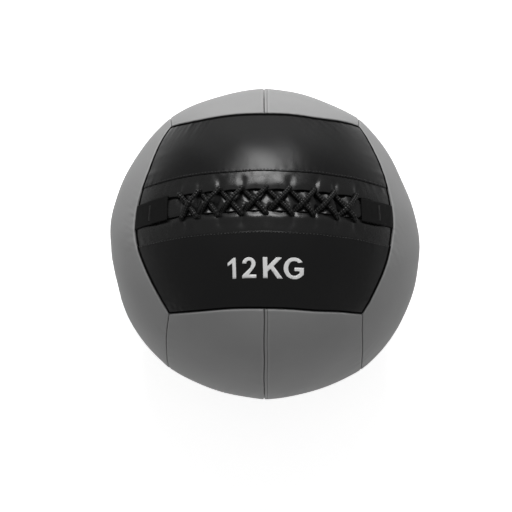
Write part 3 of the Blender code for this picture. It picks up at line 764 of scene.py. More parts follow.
def facing_rows():
    """Lines across a facing: kind, distance from the middle, share or reach, and height."""
    rows = [("middle", STITCH_LINE + FACING_LAP, 0.0), ("middle", STITCH_LINE - 0.0006, 0.0)]
    rows += [("between", share, 0.0) for share in np.linspace(0.05, 1, 17)]
    rows += [("hem", reach, 0.0) for reach in np.linspace(0.0076, FOLD_RADIUS + 0.0003, 12)]
    for turn in np.linspace(0, math.pi, 9):
        rows.append(("hem", FOLD_RADIUS * (1 - math.sin(turn)), FOLD_RADIUS * (math.cos(turn) - 1)))
    for reach in np.linspace(FOLD_RADIUS + 0.0008, FOLD_RADIUS + HEM_ALLOWANCE, 11):
        rows.append(("under", reach, -2 * FOLD_RADIUS))
    return rows


def along_to_seams(columns, inset):
    """Lengths along the slit from end seam to end seam, close together at both."""
    end = float(slit_end(STITCH_LINE)) - inset
    middle = np.linspace(-1, 1, columns) * (end - SEAM_ROLL * 1.15)
    low = ROLL_STEPS - end
    return np.concatenate((low, middle, -low[::-1]))


def lengths_along(points):
    """How far along a path each of its points lies."""
    return np.concatenate(((0,), np.cumsum(np.linalg.norm(np.diff(points, axis=0), axis=1))))


def facing_across(kind, reach, along, side):
    """How far from the slit's middle one of a facing's lines runs."""
    if kind == "middle":
        return reach + 0 * along
    hem = hem_line(along, side)
    first = STITCH_LINE - 0.0006
    return first + (hem + 0.0080 - first) * reach if kind == "between" else hem + reach


def facing_skin(side):
    """A facing's outer skin, its cloth coordinates, its distances from the end seams, and
    which of its points lie inside a hole."""
    rows = []
    for kind, reach, height in facing_rows():
        inset = 0.0020 if kind == "middle" and reach > STITCH_LINE else 0.0001
        inset = 0.0022 if kind == "under" else inset
        along = along_to_seams(280, inset)
        end = slit_end(facing_across(kind, reach, along, side)) - inset
        along = along * end / np.abs(along[0])
        across = facing_across(kind, reach, along, side)
        end = slit_end(across) - inset
        punched = np.zeros(len(along), bool)
        for hole in HOLE_PLACES[side]:
            offset = np.hypot(along - hole, across - HOLE_LINES[side])
            inside = offset < HOLE_RADIUS
            push = np.where(inside, HOLE_RADIUS / np.maximum(offset, 1e-6), 1.0)
            along = hole + (along - hole) * push
            across = HOLE_LINES[side] + (across - HOLE_LINES[side]) * push
            punched |= inside
        share = along / float(slit_end(0.0))
        over = np.clip(np.arcsin(across / SEAM_RADIUS) - stitch_across, 0, 1)
        over = over / (long_seam_across(share * CORNER_AROUND, LACED_REACH) - stitch_across)
        sink = PANEL_DIP * lapped_dip(over) * (1 - share**4)
        fall = fallen(rolled(end + inset - np.abs(along)))
        level = FACING_TOP + height - sink + slit_sink(across) - fall
        if kind != "middle":
            level = level + facing_relief(along, across, side)
        rows.append((at_slit(along, side * across, level), along, end - np.abs(along), punched))
    grid, along, seam_shading, punched = (np.array(sheet) for sheet in zip(*rows))
    run = lengths_along(grid[:, grid.shape[1] // 2])[:, None]
    sheets = (grid, np.stack(np.broadcast_arrays(along, run), -1), seam_shading, punched)
    return sheets if side > 0 else [sheet[:, ::-1] for sheet in sheets]


def smooth_black(tree):
    """Smooth glossy black coated fabric with faint creases in its coating, and painted shade in the
    folds of its seams.
    """
    grain = use_group(tree, COATED_GRAIN, grain=0.0009)
    seam_shading = use_group(tree, SEAM_PAINTED_LIGHT)
    crush = noise(tree, 150.0, 3.0, 0.6)
    tone = blend_colours(tree, grain["Tone"], (0.005, 0.005, 0.0052), 0.008)
    fine = bump(tree, grain["Height"], 0.15, 0.00005)
    return {
        # Painted shade: near-black in the fold of each end seam.
        "Base Color": blend_colours(tree, seam_shading["Fold"], tone, 0.003),
        "Roughness": map_range(tree, crush, (0.3, 0.7), (0.23, 0.33)),
        "Specular IOR Level": 0.40,
        "Normal": bump(tree, crush, 0.2, 0.0006, fine),
    }


SMOOTH_BLACK = new_material("black_smooth_cloth", smooth_black)
for name, side in (("upper_lace_facing", 1), ("lower_lace_facing", -1)):
    grid, cloth, seam_shading, punched = facing_skin(side)
    inside = punched.reshape(-1)
    faces = [face for face in grid_faces(*grid.shape[:2]) if not all(inside[face])]
    mesh = cloth_mesh(name, in_place(grid), faces, cloth, seam_shading)
    drop_loose_points(mesh)
    from_end = np.empty(len(mesh.vertices), np.float32)
    mesh.attributes["from_seam"].data.foreach_get("value", from_end)
    # The faces near the end seams get the painted shade of the seam's edge.
    shade_edge(mesh, from_end, END_SHADE)
    materials = [SMOOTH_BLACK, SEAM_SHADE]
    facing = mount("smooth_" + name, mesh, materials, name, FACING * 0.95)


# --------------------------------------------------------------------------- the lace
# One round braided cord of 5 mm. It runs down both rows of holes, over a hem and through
# its hole each time, and the leg from lower left to upper right lies on top at every
# crossing. Its ends and its turn lie under the facings and the tabs.

LACE_RADIUS = 0.0025
LACE_OVER_HEM = FACING_TOP - 0.0011 + LACE_RADIUS
LACE_UNDER_HEM = FACING_TOP - 0.0013 - 2 * FOLD_RADIUS - LACE_RADIUS + 0.0004
KNOT_PLACE = -TAB_INNER_END - 0.0145
KNOT_LENGTH = 0.013


def lace_points(side, *places):
    """Points of the lace's route on one side of the slit, drawn down with the slit."""
    return [
        Vector(at_slit(along, side * across, height + float(slit_sink(across))))
        for along, across, height in places
    ]


def lace_hole_points(along, side):
    """The lace in a hole, from above the facing down to below it."""
    row = HOLE_LINES[side]
    return lace_points(
        side,
        (along - 0.0013, row - 0.0006, LACE_OVER_HEM - 0.0006),
        (along, row + 0.0004, (LACE_OVER_HEM + LACE_UNDER_HEM) / 2),
        (along + 0.0013, row - 0.0006, LACE_UNDER_HEM + 0.0008),
    )


def lace_leg_points(start, end, side):
    """A leg from under one hem, across the slit, and over the other hem.

    The legs that run from lower left to upper right lie on top where two legs cross.
    """
    heights = {
        -1: (-0.0042, 0.0012, 0.0029, 0.0024, LACE_OVER_HEM + 0.0004),
        1: (-0.0044, -0.0029, -0.0018, -0.0005, LACE_OVER_HEM + 0.0001),
    }
    places = []
    for share, height in zip((0.72, 0.32, 0.0, -0.32, -0.72), heights[side]):
        reach = HOLE_LINES[side] * (1 + share) - HOLE_LINES[-side] * (1 - share)
        places.append((start + (end - start) * (1 - share) / 2, reach / 2, height))
    return lace_points(side, *places)


def lace_strand(side):
    """One strand from left to right, starting at the upper (1) or the lower (-1) row."""
    first, row = HOLE_PLACES[side][0], HOLE_LINES[side]
    points = lace_points(
        side,
        (KNOT_PLACE + KNOT_LENGTH / 2 + 0.0006, LACE_RADIUS * 4 / 3, LACE_UNDER_HEM),
        (-TAB_INNER_END - 0.004, row * 9 / 10, LACE_UNDER_HEM),
        (first - 0.0055, row, LACE_UNDER_HEM),
        (first - 0.0008, row + 0.0003, -0.0028),
        (first, row - 0.0008, LACE_OVER_HEM - 0.0010),
        (first + 0.0030, row - 0.0036, LACE_OVER_HEM - 0.0010),
    )
    for hole in range(8):
        leg = lace_leg_points(HOLE_PLACES[side][hole], HOLE_PLACES[-side][hole + 1], side)
        points += leg[1:] if hole == 0 else leg
        side = -side
        points += lace_hole_points(HOLE_PLACES[side][hole + 1], side)
    last = HOLE_PLACES[side][-1] + 0.0055
    return points + lace_points(side, (last, HOLE_LINES[side], LACE_UNDER_HEM))


def lace_route():
    """The whole lace: out along one strand, round under the right tab, and back."""
    bend, shoulder = 0.0100, LACE_TURN - 0.0044
    turn = ((shoulder, bend), (LACE_TURN, 0), (shoulder, -bend))
    middle = lace_points(1, *((*place_on, LACE_UNDER_HEM) for place_on in turn))
    return lace_strand(1) + middle + lace_strand(-1)[::-1]


def smooth_curve(points, spacing):
    """Points about one spacing apart on a smooth curve through the given points."""
    ends = [2 * points[0] - points[1], *points, 2 * points[-1] - points[-2]]
    curve = []
    for before, start, end, after in zip(ends, ends[1:], ends[2:], ends[3:]):
        reach = (end - start).length
        leave = (end - before) * reach / ((start - before).length + reach)
        arrive = (after - start) * reach / ((after - end).length + reach)
        steps = math.ceil(reach / spacing)
        for step in range(steps):
            t = step / steps
            curve.append(
                start * (2 * t**3 - 3 * t**2 + 1)
                + leave * (t**3 - 2 * t**2 + t)
                + end * (3 * t**2 - 2 * t**3)
                + arrive * (t**3 - t**2)
            )
    curve.append(points[-1])
    return np.array(curve)


def tube_frames(path):
    """Two directions across a path at every point, carried along it without twist."""
    ahead = np.gradient(path, axis=0)
    ahead /= np.linalg.norm(ahead, axis=1, keepdims=True)
    side = np.cross(ahead[0], (0.0, 0.0, 1.0))
    sides = []
    for direction in ahead:
        side = side - direction * np.dot(side, direction)
        side = side / np.linalg.norm(side)
        sides.append(side)
    sides = np.array(sides)
    return sides, np.cross(ahead, sides)


def ring_faces(rings, around):
    """The point numbers of a row of rings, and the four-sided faces between the rings."""
    index = np.arange(rings * around).reshape(rings, around)
    after = np.roll(index, -1, axis=1)
    quads = np.stack((index[:-1], index[1:], after[1:], after[:-1]), -1)
    return index, quads.reshape(-1, 4).tolist()


def tube_mesh(name, path, radii):
    """A closed tube along a path. radii has one row for each point and one value round it."""
    around = radii.shape[1]
    sides, ups = tube_frames(path)
    turns = 2 * math.pi * np.arange(around) / around
    spokes = sides[:, None] * np.cos(turns)[:, None] + ups[:, None] * np.sin(turns)[:, None]
    grid = path[:, None] + spokes * radii[:, :, None]
    index, faces = ring_faces(len(path), around)
    first, last = index.size, index.size + 1
    for k in range(around):
        after = (k + 1) % around
        faces.append([first, int(index[0, k]), int(index[0, after])])
        faces.append([last, int(index[-1, after]), int(index[-1, k])])
    points = np.concatenate((grid.reshape(-1, 3), path[:1], path[-1:]))
    run = lengths_along(path)[:, None]
    cloth = np.stack(np.broadcast_arrays(run, turns[None, :]), -1).reshape(-1, 2)
    cloth = np.concatenate((cloth, cloth[:1], cloth[-1:]))
    return cloth_mesh(name, points, faces, cloth)


BRAID_LAY = 0.0112


def braided_cord(tree):
    """Matte black braided cord with fine fibres on every strand, painted near-black between the strands
    as painted shade and lighter on their crowns as a painted highlight.
    """
    run, turn = cloth_axes(tree)
    twist = maths(tree, "MULTIPLY_ADD", turn, 9.0, maths(tree, "MULTIPLY", run, 5200.0))
    fibres = maths(tree, "MULTIPLY_ADD", maths(tree, "SINE", twist), 0.35, noise(tree, 2600.0, 2.0))
    crown = crossed_waves(tree, (run, turn), (8 * math.pi / BRAID_LAY, 6.0), "COSINE", "ADD")
    crown = map_range(tree, crown, (-0.2, 1.6), (0.0, 1.0))
    return {
        # Painted shade and highlight: near-black between the strands, lighter on their crowns.
        "Base Color": blend_colours(tree, crown, 0.0003, 0.010),
        "Roughness": map_range(tree, crown, (0.0, 1.0), (1.0, 0.22)),
        "Specular IOR Level": 0.45,
        "Normal": bump(tree, fibres, 0.6, 0.00010),
    }


BRAIDED_CORD = new_material("black_braided_cord", braided_cord)


def lace_mesh():
    """The lace as one tube with the relief of a braid of twelve strands."""
    path = settled(smooth_curve(lace_route(), 0.0006))
    around = 24
    turns = 2 * math.pi * np.arange(around)[None, :] / around
    lay = 2 * math.pi * lengths_along(path)[:, None] / BRAID_LAY
    braid = np.cos(3 * turns + 2 * lay) * np.cos(3 * turns - 2 * lay)
    return tube_mesh("lace_cord", path + np.array(CENTRE), LACE_RADIUS - 0.00022 + 0.00048 * braid)


mount("braided_lace_cord", lace_mesh(), [BRAIDED_CORD], "lace_cord")


# ------------------------------------------------------------------------- the tongue
# A strip of the same smooth fabric behind the slit. The filling presses it up between
# the lace's legs, and every leg presses its own line into it.


TONGUE = 0.0008
TONGUE_LEVEL, TONGUE_TOP = -0.0027, -0.0001
TONGUE_LEAN, TAB_LEAN = 0.18, 0.05
TONGUE_STEEPNESS = 0.52
DOME, DOME_FALL = 0.0006, 1.6
LEG_SPACING, LEG_HALO = 0.0018, 0.0050


def tongue_rise(along, across, crowding):
    """The tongue's level: tilted in each diamond of the lacing, and down under the hems."""
    ends = eased(-np.abs(along), -TAB_INNER_END - 0.014, -TAB_INNER_END - 0.004)
    past_lace = eased(np.abs(along), LAST_HOLE - 0.004, LAST_HOLE + 0.006)
    leant = (TONGUE_LEAN + (TAB_LEAN - TONGUE_LEAN) * past_lace) * across
    open_level = TONGUE_LEVEL - leant + 0.0010 * past_lace
    holes = (np.array(HOLE_PLACES[1]) + np.array(HOLE_PLACES[-1])) / 2
    turn = 2 * math.pi * np.interp(along, holes, np.arange(9))
    steepness = TONGUE_STEEPNESS * (1 - past_lace) * along / LAST_HOLE
    open_level = open_level - steepness * HOLE_PITCH / (2 * math.pi) * np.sin(turn)
    dome = DOME * np.exp(-DOME_FALL * crowding)
    open_level = np.minimum(open_level + dome, TONGUE_TOP - 0.0011 * past_lace)
    hem_level = FACING_TOP - 2 * FOLD_RADIUS - np.where(across > 0, 0.0006, 0.0018)
    from_hem = np.abs(across) - np.where(across > 0, hem_line(along, 1), hem_line(along, -1))
    tucked = eased(from_hem, -0.0009 + 0.0006 * past_lace, -0.0001 + 0.0003 * past_lace)
    level = open_level + (np.minimum(open_level, hem_level) - open_level) * tucked
    shut_level = LACE_UNDER_HEM - LACE_RADIUS - 0.0006
    shut = eased(from_hem, 0.0010, 0.0060)
    level = level + (shut_level - level) * shut
    return shut_level + (level - shut_level) * ends


def build_tongue():
    """The tongue as one fine sheet."""
    half = float(slit_end(0.0)) - 0.007
    along = np.linspace(-half, half, 290)[:, None]
    edge = np.linspace(0.017, 0.024, 5)[1:]
    across = np.concatenate((-edge[::-1], np.linspace(-0.017, 0.017, 69), edge))[None, :]
    along, across = along + 0 * across, across + 0 * along
    path = smooth_curve(lace_route(), LEG_SPACING)
    outward = np.linalg.norm(path, axis=1)
    lace_across = SEAM_RADIUS * path[:, 1] / outward
    lace_along = SEAM_RADIUS * np.arctan2(path[:, 0], path[:, 2])
    crowding = 0.0 * along
    for spot_along, spot_across in zip(lace_along, lace_across):
        apart = np.hypot(along - spot_along, across - spot_across)
        crowding = crowding + np.exp(-((apart / LEG_HALO) ** 2))
    crowding = crowding * LEG_SPACING / (LEG_HALO * math.sqrt(math.pi))
    level = tongue_rise(along, across, crowding)
    pressed = 0.0 * level
    for spot_along, spot_across, spot_level in zip(lace_along, lace_across, outward - SEAM_RADIUS):
        spot_level = spot_level - float(slit_sink(spot_across))
        apart = np.hypot(along - spot_along, across - spot_across)
        depth = np.maximum(0, level - (spot_level - LACE_RADIUS - 0.0002))
        spread = np.clip(0.0036 - 0.4 * (depth - 0.0020), 0.0026, 0.0036)
        pressed = np.maximum(pressed, depth * np.exp(-((apart / spread) ** 2)))
    wrinkle = np.sin(along / 0.0013 + 9 * np.sin(across / 0.008))
    wrinkle = wrinkle * np.sin(across / 0.0021 + along / 0.011)
    level = level - pressed + 0.00007 * wrinkle + slit_sink(across)
    grid = at_slit(along, across, level)
    cloth = np.stack((along, across), -1)
    mesh = cloth_mesh("lace_tongue", in_place(grid), grid_faces(*grid.shape[:2]), cloth)
    slot, node = "black_smooth_facing", "lace_tongue"
    tongue = mount("smooth_lace_tongue", mesh, [SMOOTH_BLACK], node, TONGUE)


build_tongue()


# ------------------------------------------------------------------------- the tabs
# Flat woven tape over the slit's two ends. The end seam holds the outer end, the inner
# end is folded under, and a bar tack is sewn across the tape near the seam.

TAPE = 0.0009
TAPE_FOLD_RADIUS = TAPE + 0.00015
TAB_UNDERSIDE = FACING_TOP - 0.0006
TAB_MIDDLE = TAB_INNER_END + 0.034
TAPE_RIBS = (0.0011, 0.0016)


def woven_tape(tree):
    """Matte black tape with the ribs of its weave."""
    rates = [2 * math.pi / pitch for pitch in TAPE_RIBS]
    weave = crossed_waves(tree, cloth_axes(tree), rates, "SINE")
    fuzz = noise(tree, 900.0, 3.0)
    return {
        "Base Color": blend_colours(tree, fuzz, 0.002, 0.008),
        "Roughness": map_range(tree, fuzz, (0.0, 1.0), (0.65, 0.9)),
        "Specular IOR Level": 0.15,
        "Normal": bump(tree, maths(tree, "MULTIPLY_ADD", weave, 0.5, fuzz), 0.6, 0.00022),
    }


WOVEN_TAPE = new_material("black_woven_tape", woven_tape)


def tab_skin(seed, width, lean):
    """A tab's outer skin on the right end of the slit, and its cloth coordinates."""
    top = TAB_UNDERSIDE + 2 * TAPE_FOLD_RADIUS
    fold_middle = TAB_INNER_END + TAPE_FOLD_RADIUS
    across = np.linspace(-width / 2, width / 2, 25)
    end = slit_end(across) - 0.0001
    first = SEAM_ROLL * 1.2
    reaches = [0 * across + step for step in ROLL_STEPS]
    reaches += [first + (end - fold_middle - first) * share for share in np.linspace(0, 1, 30)]
    rows = []
    for reach in reaches:
        along = end - reach
        to_edge = np.minimum(reach, width / 2 - np.abs(across))
        wave = gathers(along, to_edge + 0.002, seed, 0.00010, 0.02)
        near_fold = np.clip((along - fold_middle) / 0.01, 0, 1)
        rows.append((along, top - fallen(rolled(reach)) + wave * near_fold))
    for turn in np.linspace(0, math.pi, 9)[1:]:
        level = TAB_UNDERSIDE + TAPE_FOLD_RADIUS * (1 + math.cos(turn))
        rows.append((fold_middle - TAPE_FOLD_RADIUS * math.sin(turn), level))
    rows += [(fold_middle + reach, TAB_UNDERSIDE) for reach in (0.0055, 0.011, 0.0165, 0.022)]
    grid = []
    for along, level in rows:
        leant = across + lean * (TAB_MIDDLE - along)
        grid.append(at_slit(along, leant, level + slit_sink(across)))
    grid = np.array(grid)
    steps = np.linalg.norm(np.diff(grid, axis=0), axis=-1)
    run = np.concatenate((np.zeros((1, len(across))), np.cumsum(steps, axis=0)))
    return grid, np.stack((run, across[None, :] + 0 * run), -1)


TABS = {}
for name, side, width, lean in (
    ("right_webbing_tab", 1, 0.0250, -0.02),
    ("left_webbing_tab", -1, 0.0266, -0.05),
):
    grid, cloth = tab_skin(60 + side, width, lean)
    turn = np.array(Matrix.Rotation(0 if side > 0 else math.pi, 3, "Z"))
    faces = [face[::-1] for face in grid_faces(*grid.shape[:2])]
    mesh = cloth_mesh(name, in_place(grid @ turn.T), faces, cloth)
    tab = mount("woven_" + name, mesh, [WOVEN_TAPE], name, TAPE * 0.95)
    TABS[side] = tab


# ------------------------------------------------------------------------ the knot
# The lace's two ends are tied together in a small overhand knot, which is tucked away
# under the left tab.


def short_braid(points, around, rate):
    """The relief of the braid on a short tube."""
    strands = np.cos(math.pi / 2 * np.arange(around))
    return strands[None, :] * np.cos(rate * np.arange(points))[:, None]


def knot_mesh():
    """An overhand knot drawn tight, as one short thick loop of the same cord."""
    spot = Vector(at_slit(KNOT_PLACE, 0.0, LACE_UNDER_HEM + 0.0004))
    turn = np.array(spot.to_track_quat("Z", "Y").to_matrix())
    t = np.linspace(0.12, 2 * math.pi - 0.12, 120)
    x, y = 0.00135 * (np.sin(t) + 2 * np.sin(2 * t)), 0.00150 * (np.cos(t) - 2 * np.cos(2 * t))
    path = np.stack((x, y, -0.00184 * np.sin(3 * t)), -1) @ turn.T + np.array(spot + CENTRE)
    return tube_mesh("lace_end_knot", path, 0.00165 + 0.00012 * short_braid(120, 16, 0.9))


mount("tied_lace_end_knot", knot_mesh(), [BRAIDED_CORD], "lace_end_knot")


# ---------------------------------------------------------------------- the filling
# A liner of plain cloth, gathered round its mouth under the tongue, holds packed fibre in
# two thick halves. In their middle lies a cloth bag of iron sand, its neck tied with cord.

LINER_RADIUS = 0.1639
LINER_MOUTH = 0.016
FIBRE_RADIUS = 0.1623
CAVITY_RADIUS = 0.0785
BAG_RADIUS = 0.0779
NECK_RADIUS = 0.0134
NECK_TOP = 0.1075
POCKET_RADIUS = 0.0185
SAND_RADIUS = 0.0765
SAND_LEVEL = 0.0670
TIE_HEIGHT = 0.0930
TIE_REACH = 0.0154
LINER_CLOTH = 0.0008
WEAVE_PITCH = 0.0012


def turned_mesh(name, profile, around, relief):
    """A profile turned about the ball's axis and pushed in or out by a relief."""
    turns = 2 * math.pi * np.arange(around)[None, :] / around
    reach, height = (np.array(line)[:, None] for line in profile)
    grid = np.stack((reach * np.cos(turns), reach * np.sin(turns), height + 0 * turns), -1)
    grid = grid * (1 + relief(grid, turns) / np.linalg.norm(grid, axis=-1))[..., None]
    index, faces = ring_faces(len(reach), around)
    if reach[0] < 0.001:
        faces.append(index[0].tolist())
    if reach[-1] < 0.001:
        faces.append(index[-1, ::-1].tolist())
    run = lengths_along(np.hstack((reach, height)))[:, None]
    cloth = np.stack(np.broadcast_arrays(run, turns * float(reach.max())), -1)
    return cloth_mesh(name, grid + np.array(CENTRE), faces, cloth)


def arc_profile(radius, start, end, count):
    """Distances from the axis and heights along a circle, by degrees from the top."""
    turns = np.radians(np.linspace(start, end, count))
    return radius * np.sin(turns), radius * np.cos(turns)


def tufts(grid, pitch):
    """Soft lumps between 0 and 1 of about one pitch."""
    x, y, z = (grid[..., axis] / pitch for axis in range(3))
    lumps = np.sin(5.1 * x + 2 * np.sin(3.3 * y)) * np.sin(4.7 * y + 2 * np.sin(3.7 * z))
    lumps = lumps + 0.6 * np.sin(9.2 * z + 3 * np.sin(4.1 * x)) * np.sin(8.3 * x - 5.9 * y)
    return np.clip(0.5 + 0.31 * lumps, 0, 1)


def plain_cloth(tree):
    """Undyed plain-woven cloth."""
    weave = crossed_waves(tree, cloth_axes(tree), [2 * math.pi / WEAVE_PITCH] * 2, "SINE")
    slubs = noise(tree, 160.0, 4.0)
    return {
        "Base Color": blend_colours(tree, slubs, (0.52, 0.51, 0.48), (0.66, 0.65, 0.62)),
        "Roughness": 0.9,
        "Normal": bump(tree, weave, 0.5, 0.0002),
    }


def mottled(texture, colours, roughness, relief):
    """A look whose colour and relief, and roughness if it varies, follow one noise."""

    def describe(tree):
        mottle = noise(tree, *texture)
        varied = isinstance(roughness, tuple)
        return {
            "Base Color": blend_colours(tree, mottle, *colours),
            "Roughness": map_range(tree, mottle, (0.0, 1.0), roughness) if varied else roughness,
            "Normal": bump(tree, mottle, *relief),
        }

    return describe


def iron_grit(tree):
    """Loose dull iron grit."""
    spot = add_node(tree, "TexCoord").outputs["Object"]
    grains = add_node(tree, "TexVoronoi", {"Vector": spot, "Scale": 900.0}).outputs["Distance"]
    return {
        "Base Color": blend_colours(tree, grains, (0.075, 0.075, 0.08), (0.03, 0.028, 0.026)),
        "Metallic": 0.7,
        "Roughness": map_range(tree, grains, (0.0, 1.0), (0.45, 0.8)),
        "Normal": bump(tree, grains, 0.8, 0.0005, invert=True),
    }


PLAIN_CLOTH = new_material("undyed_woven_cloth", plain_cloth)
matted = mottled((120.0, 6.0, 2.5), (0.36, (0.62, 0.62, 0.61)), 0.95, (0.9, 0.0012))
PACKED_FIBRE = new_material("packed_fibre", matted)


def liner_relief(grid, turns):
    """Pleats that run out from the gathered mouth and fade down the liner's side."""
    from_mouth = np.hypot(grid[..., 0], grid[..., 1]) - LINER_MOUTH
    fade = np.where(grid[..., 2] > 0, np.exp(-np.maximum(from_mouth, 0) / 0.03), 0.0)
    pleats = 0.6 * np.cos(26 * turns + 0.8 * np.sin(5 * turns)) + 0.4 * np.cos(43 * turns)
    return -0.0005 - 0.0009 * fade * (1 - pleats) - 0.0005 * tufts(grid, 0.06)


mouth = math.degrees(math.asin(LINER_MOUTH / LINER_RADIUS))
mesh = turned_mesh("inner_liner", arc_profile(LINER_RADIUS, mouth, 179.9, 150), 208, liner_relief)
liner = mount("gathered_inner_liner", mesh, [PLAIN_CLOTH], "inner_liner", LINER_CLOTH)


def fibre_relief(grid, turns):
    """Tufts that stand back from the liner, and back from the bag in the middle."""
    inward = np.where(np.linalg.norm(grid, axis=-1) > 0.12, -1.0, 0.6)
    return inward * (0.0016 * tufts(grid, 0.05) + 0.0009 * tufts(grid[..., ::-1], 0.021))


pocket = math.degrees(math.asin(POCKET_RADIUS / CAVITY_RADIUS))
pocket_top = NECK_TOP + 0.0008
inner = arc_profile(CAVITY_RADIUS, 90, pocket, 34)
wall = np.linspace((POCKET_RADIUS, inner[1][-1]), (POCKET_RADIUS, pocket_top), 10)[1:].T
ceiling = np.linspace((POCKET_RADIUS, pocket_top), (0.0004, pocket_top), 7)[1:].T
upper = np.hstack((arc_profile(FIBRE_RADIUS, 0.1, 90, 60), inner, wall, ceiling))
floor = arc_profile(CAVITY_RADIUS, 179.8, 90, 40)
lower = np.hstack((floor, arc_profile(FIBRE_RADIUS, 90, 179.9, 60)))
for name, (reach, height), gap in (("upper_wadding", upper, 0.0003), ("lower_wadding", lower, -0.0003)):
    height = np.where(np.abs(height) < abs(gap), gap, height)
    mesh = turned_mesh(name, (reach, height), 160, fibre_relief)
    half = mount("packed_" + name, mesh, [PACKED_FIBRE], name)


def bag_relief(grid, turns):
    """Gathers that run down from the tied neck."""
    down = np.maximum(0.0925 - grid[..., 2], 0)
    pleats = np.cos(15 * turns + 0.6 * np.sin(3 * turns))
    return 0.0007 * pleats * np.exp(-down / 0.012) - 0.0004 * tufts(grid, 0.03)


gathered = math.degrees(math.asin((NECK_RADIUS + 0.004) / BAG_RADIUS))
shoulder = arc_profile(BAG_RADIUS, gathered, 179.8, 90)
neck_height = np.linspace(NECK_TOP, float(shoulder[1][0]) + 0.0024, 20)
neck_reach = NECK_RADIUS + 0.0012 * ((neck_height - TIE_HEIGHT) / (NECK_TOP - TIE_HEIGHT)) ** 2
neck_reach = neck_reach + 0.0020 * np.exp(-(neck_height - neck_height[-1]) / 0.0015)
mesh = turned_mesh("core_bag", np.hstack(((neck_reach, neck_height), shoulder)), 150, bag_relief)
bag = mount("tied_core_bag", mesh, [PLAIN_CLOTH], "core_bag", LINER_CLOTH)

wraps = np.linspace(-0.35, 2 * math.pi + 0.35, 110)
lift = TIE_HEIGHT + 0.0036 * (wraps / (2 * math.pi) - 0.5)
loop = np.stack((TIE_REACH * np.cos(wraps), TIE_REACH * np.sin(wraps), lift), -1) + np.array(CENTRE)
mesh = tube_mesh("core_bag_tie", loop, 0.00145 + 0.00014 * short_braid(110, 12, 1.1))
mount("tied_core_bag_cord", mesh, [BRAIDED_CORD], "core_bag_tie")


def grit_relief(grid, turns):
    """The heap's shallow dips and its grains."""
    return -0.0006 * tufts(grid, 0.03) - 0.0003 * tufts(grid, 0.004)


edge = math.degrees(math.acos(SAND_LEVEL / SAND_RADIUS))
side = arc_profile(SAND_RADIUS, edge, 179.8, 80)
top = np.linspace((0.0003, SAND_LEVEL), (side[0][0], SAND_LEVEL), 24)[:-1].T
mesh = turned_mesh("iron_sand", np.hstack((top, side)), 160, grit_relief)
mount("loose_iron_sand", mesh, [new_material("iron_grit", iron_grit)], "iron_sand")


# ------------------------------------------------------------------- stitches and mark
# Black bonded thread holds the laced panels' edges to the facings, and sews the bar
# tacks on the tabs. A plain weight mark is pressed on in white film below the lacing.

LAP_THREAD, TACK_THREAD = 0.0007, 0.0006
LAP_STITCH = 0.0027
EDGE_TO_STITCHES, END_TO_STITCHES = 0.0015, 0.004
TACK_ENDS = (0.1272, 0.1306)
TACK_PITCH = 0.00115
twisted = mottled((1800.0, 2.0), (0.006, 0.03), (0.3, 0.5), (0.5, 0.0001))
BONDED_THREAD = new_material("black_bonded_thread", twisted)


def on_skin(tree, direction):
    """Where a line from the ball's centre leaves a skin, and the skin's outward side."""
    direction = Vector(direction).normalized()
    spot, normal, _, _ = tree.ray_cast(CENTRE + 0.3 * direction, -direction)
    if spot is None:
        return CENTRE + SEAM_RADIUS * direction, direction
    return spot, normal if normal.dot(direction) > 0 else -normal


def stitches_mesh(name, ends, thickness):
    """Short threads between pairs of points on a skin, each arched over it."""
    rings, around = 7, 6
    points, faces = [], []
    for (start, start_up), (end, end_up) in ends:
        up = (start_up + end_up).normalized()
        side = (end - start).cross(up).normalized()
        base = len(points)
        for ring in range(rings):
            t = ring / (rings - 1)
            arch = math.sin(math.pi * t)
            middle = start.lerp(end, t) + up * thickness * (0.75 * arch - 0.45)
            radius = thickness / 2 * (0.35 + 0.65 * arch**0.5)
            for k in range(around):
                turn = 2 * math.pi * k / around
                points.append(tuple(middle + radius * (side * math.cos(turn) + up * math.sin(turn))))
        index, quads = ring_faces(rings, around)
        index, quads = (index + base).tolist(), (np.array(quads) + base).tolist()
        faces += [*quads, index[0], index[-1][::-1]]
    mesh = bpy.data.meshes.new(name)
    mesh.from_pydata(points, [], faces)
    mesh.validate()
    mesh.shade_smooth()
    return mesh


def sew(name, tree, pairs, thickness):
    """A row of stitches on a skin, each between two places along and across the slit."""
    ends = [[on_skin(tree, settled(at_slit(*end, 0.0))) for end in pair] for pair in pairs]
    mount(name, stitches_mesh(name, ends, thickness), [BONDED_THREAD])


row = STITCH_LINE + EDGE_TO_STITCHES
reach = float(slit_end(row)) - END_TO_STITCHES
count = int(2 * reach / STITCH_PITCH)
middles = [-reach + 2 * reach * (k + 0.5) / count for k in range(count)]
for name, side in (("upper_lap_stitches", 1), ("lower_lap_stitches", -1)):
    steps = (-LAP_STITCH / 2, LAP_STITCH / 2)
    pairs = [[(middle + step, side * row) for step in steps] for middle in middles]
    sew(name, LACED_SKINS[side], pairs, LAP_THREAD)
for name, side in (("right_bar_tack", 1), ("left_bar_tack", -1)):
    start, end = (side * reach for reach in TACK_ENDS)
    places = [k * TACK_PITCH for k in range(-7, 8)]
    pairs = [((start, across), (end, across + 0.0005)) for across in places]
    sew(name, skin_tree(TABS[side]), pairs, TACK_THREAD)


def arc(middle, radii, start, end, count):
    """Points on an ellipse between two angles in degrees."""
    return [
        (
            middle[0] + radii[0] * math.cos(math.radians(start + (end - start) * k / count)),
            middle[1] + radii[1] * math.sin(math.radians(start + (end - start) * k / count)),
        )
        for k in range(count + 1)
    ]


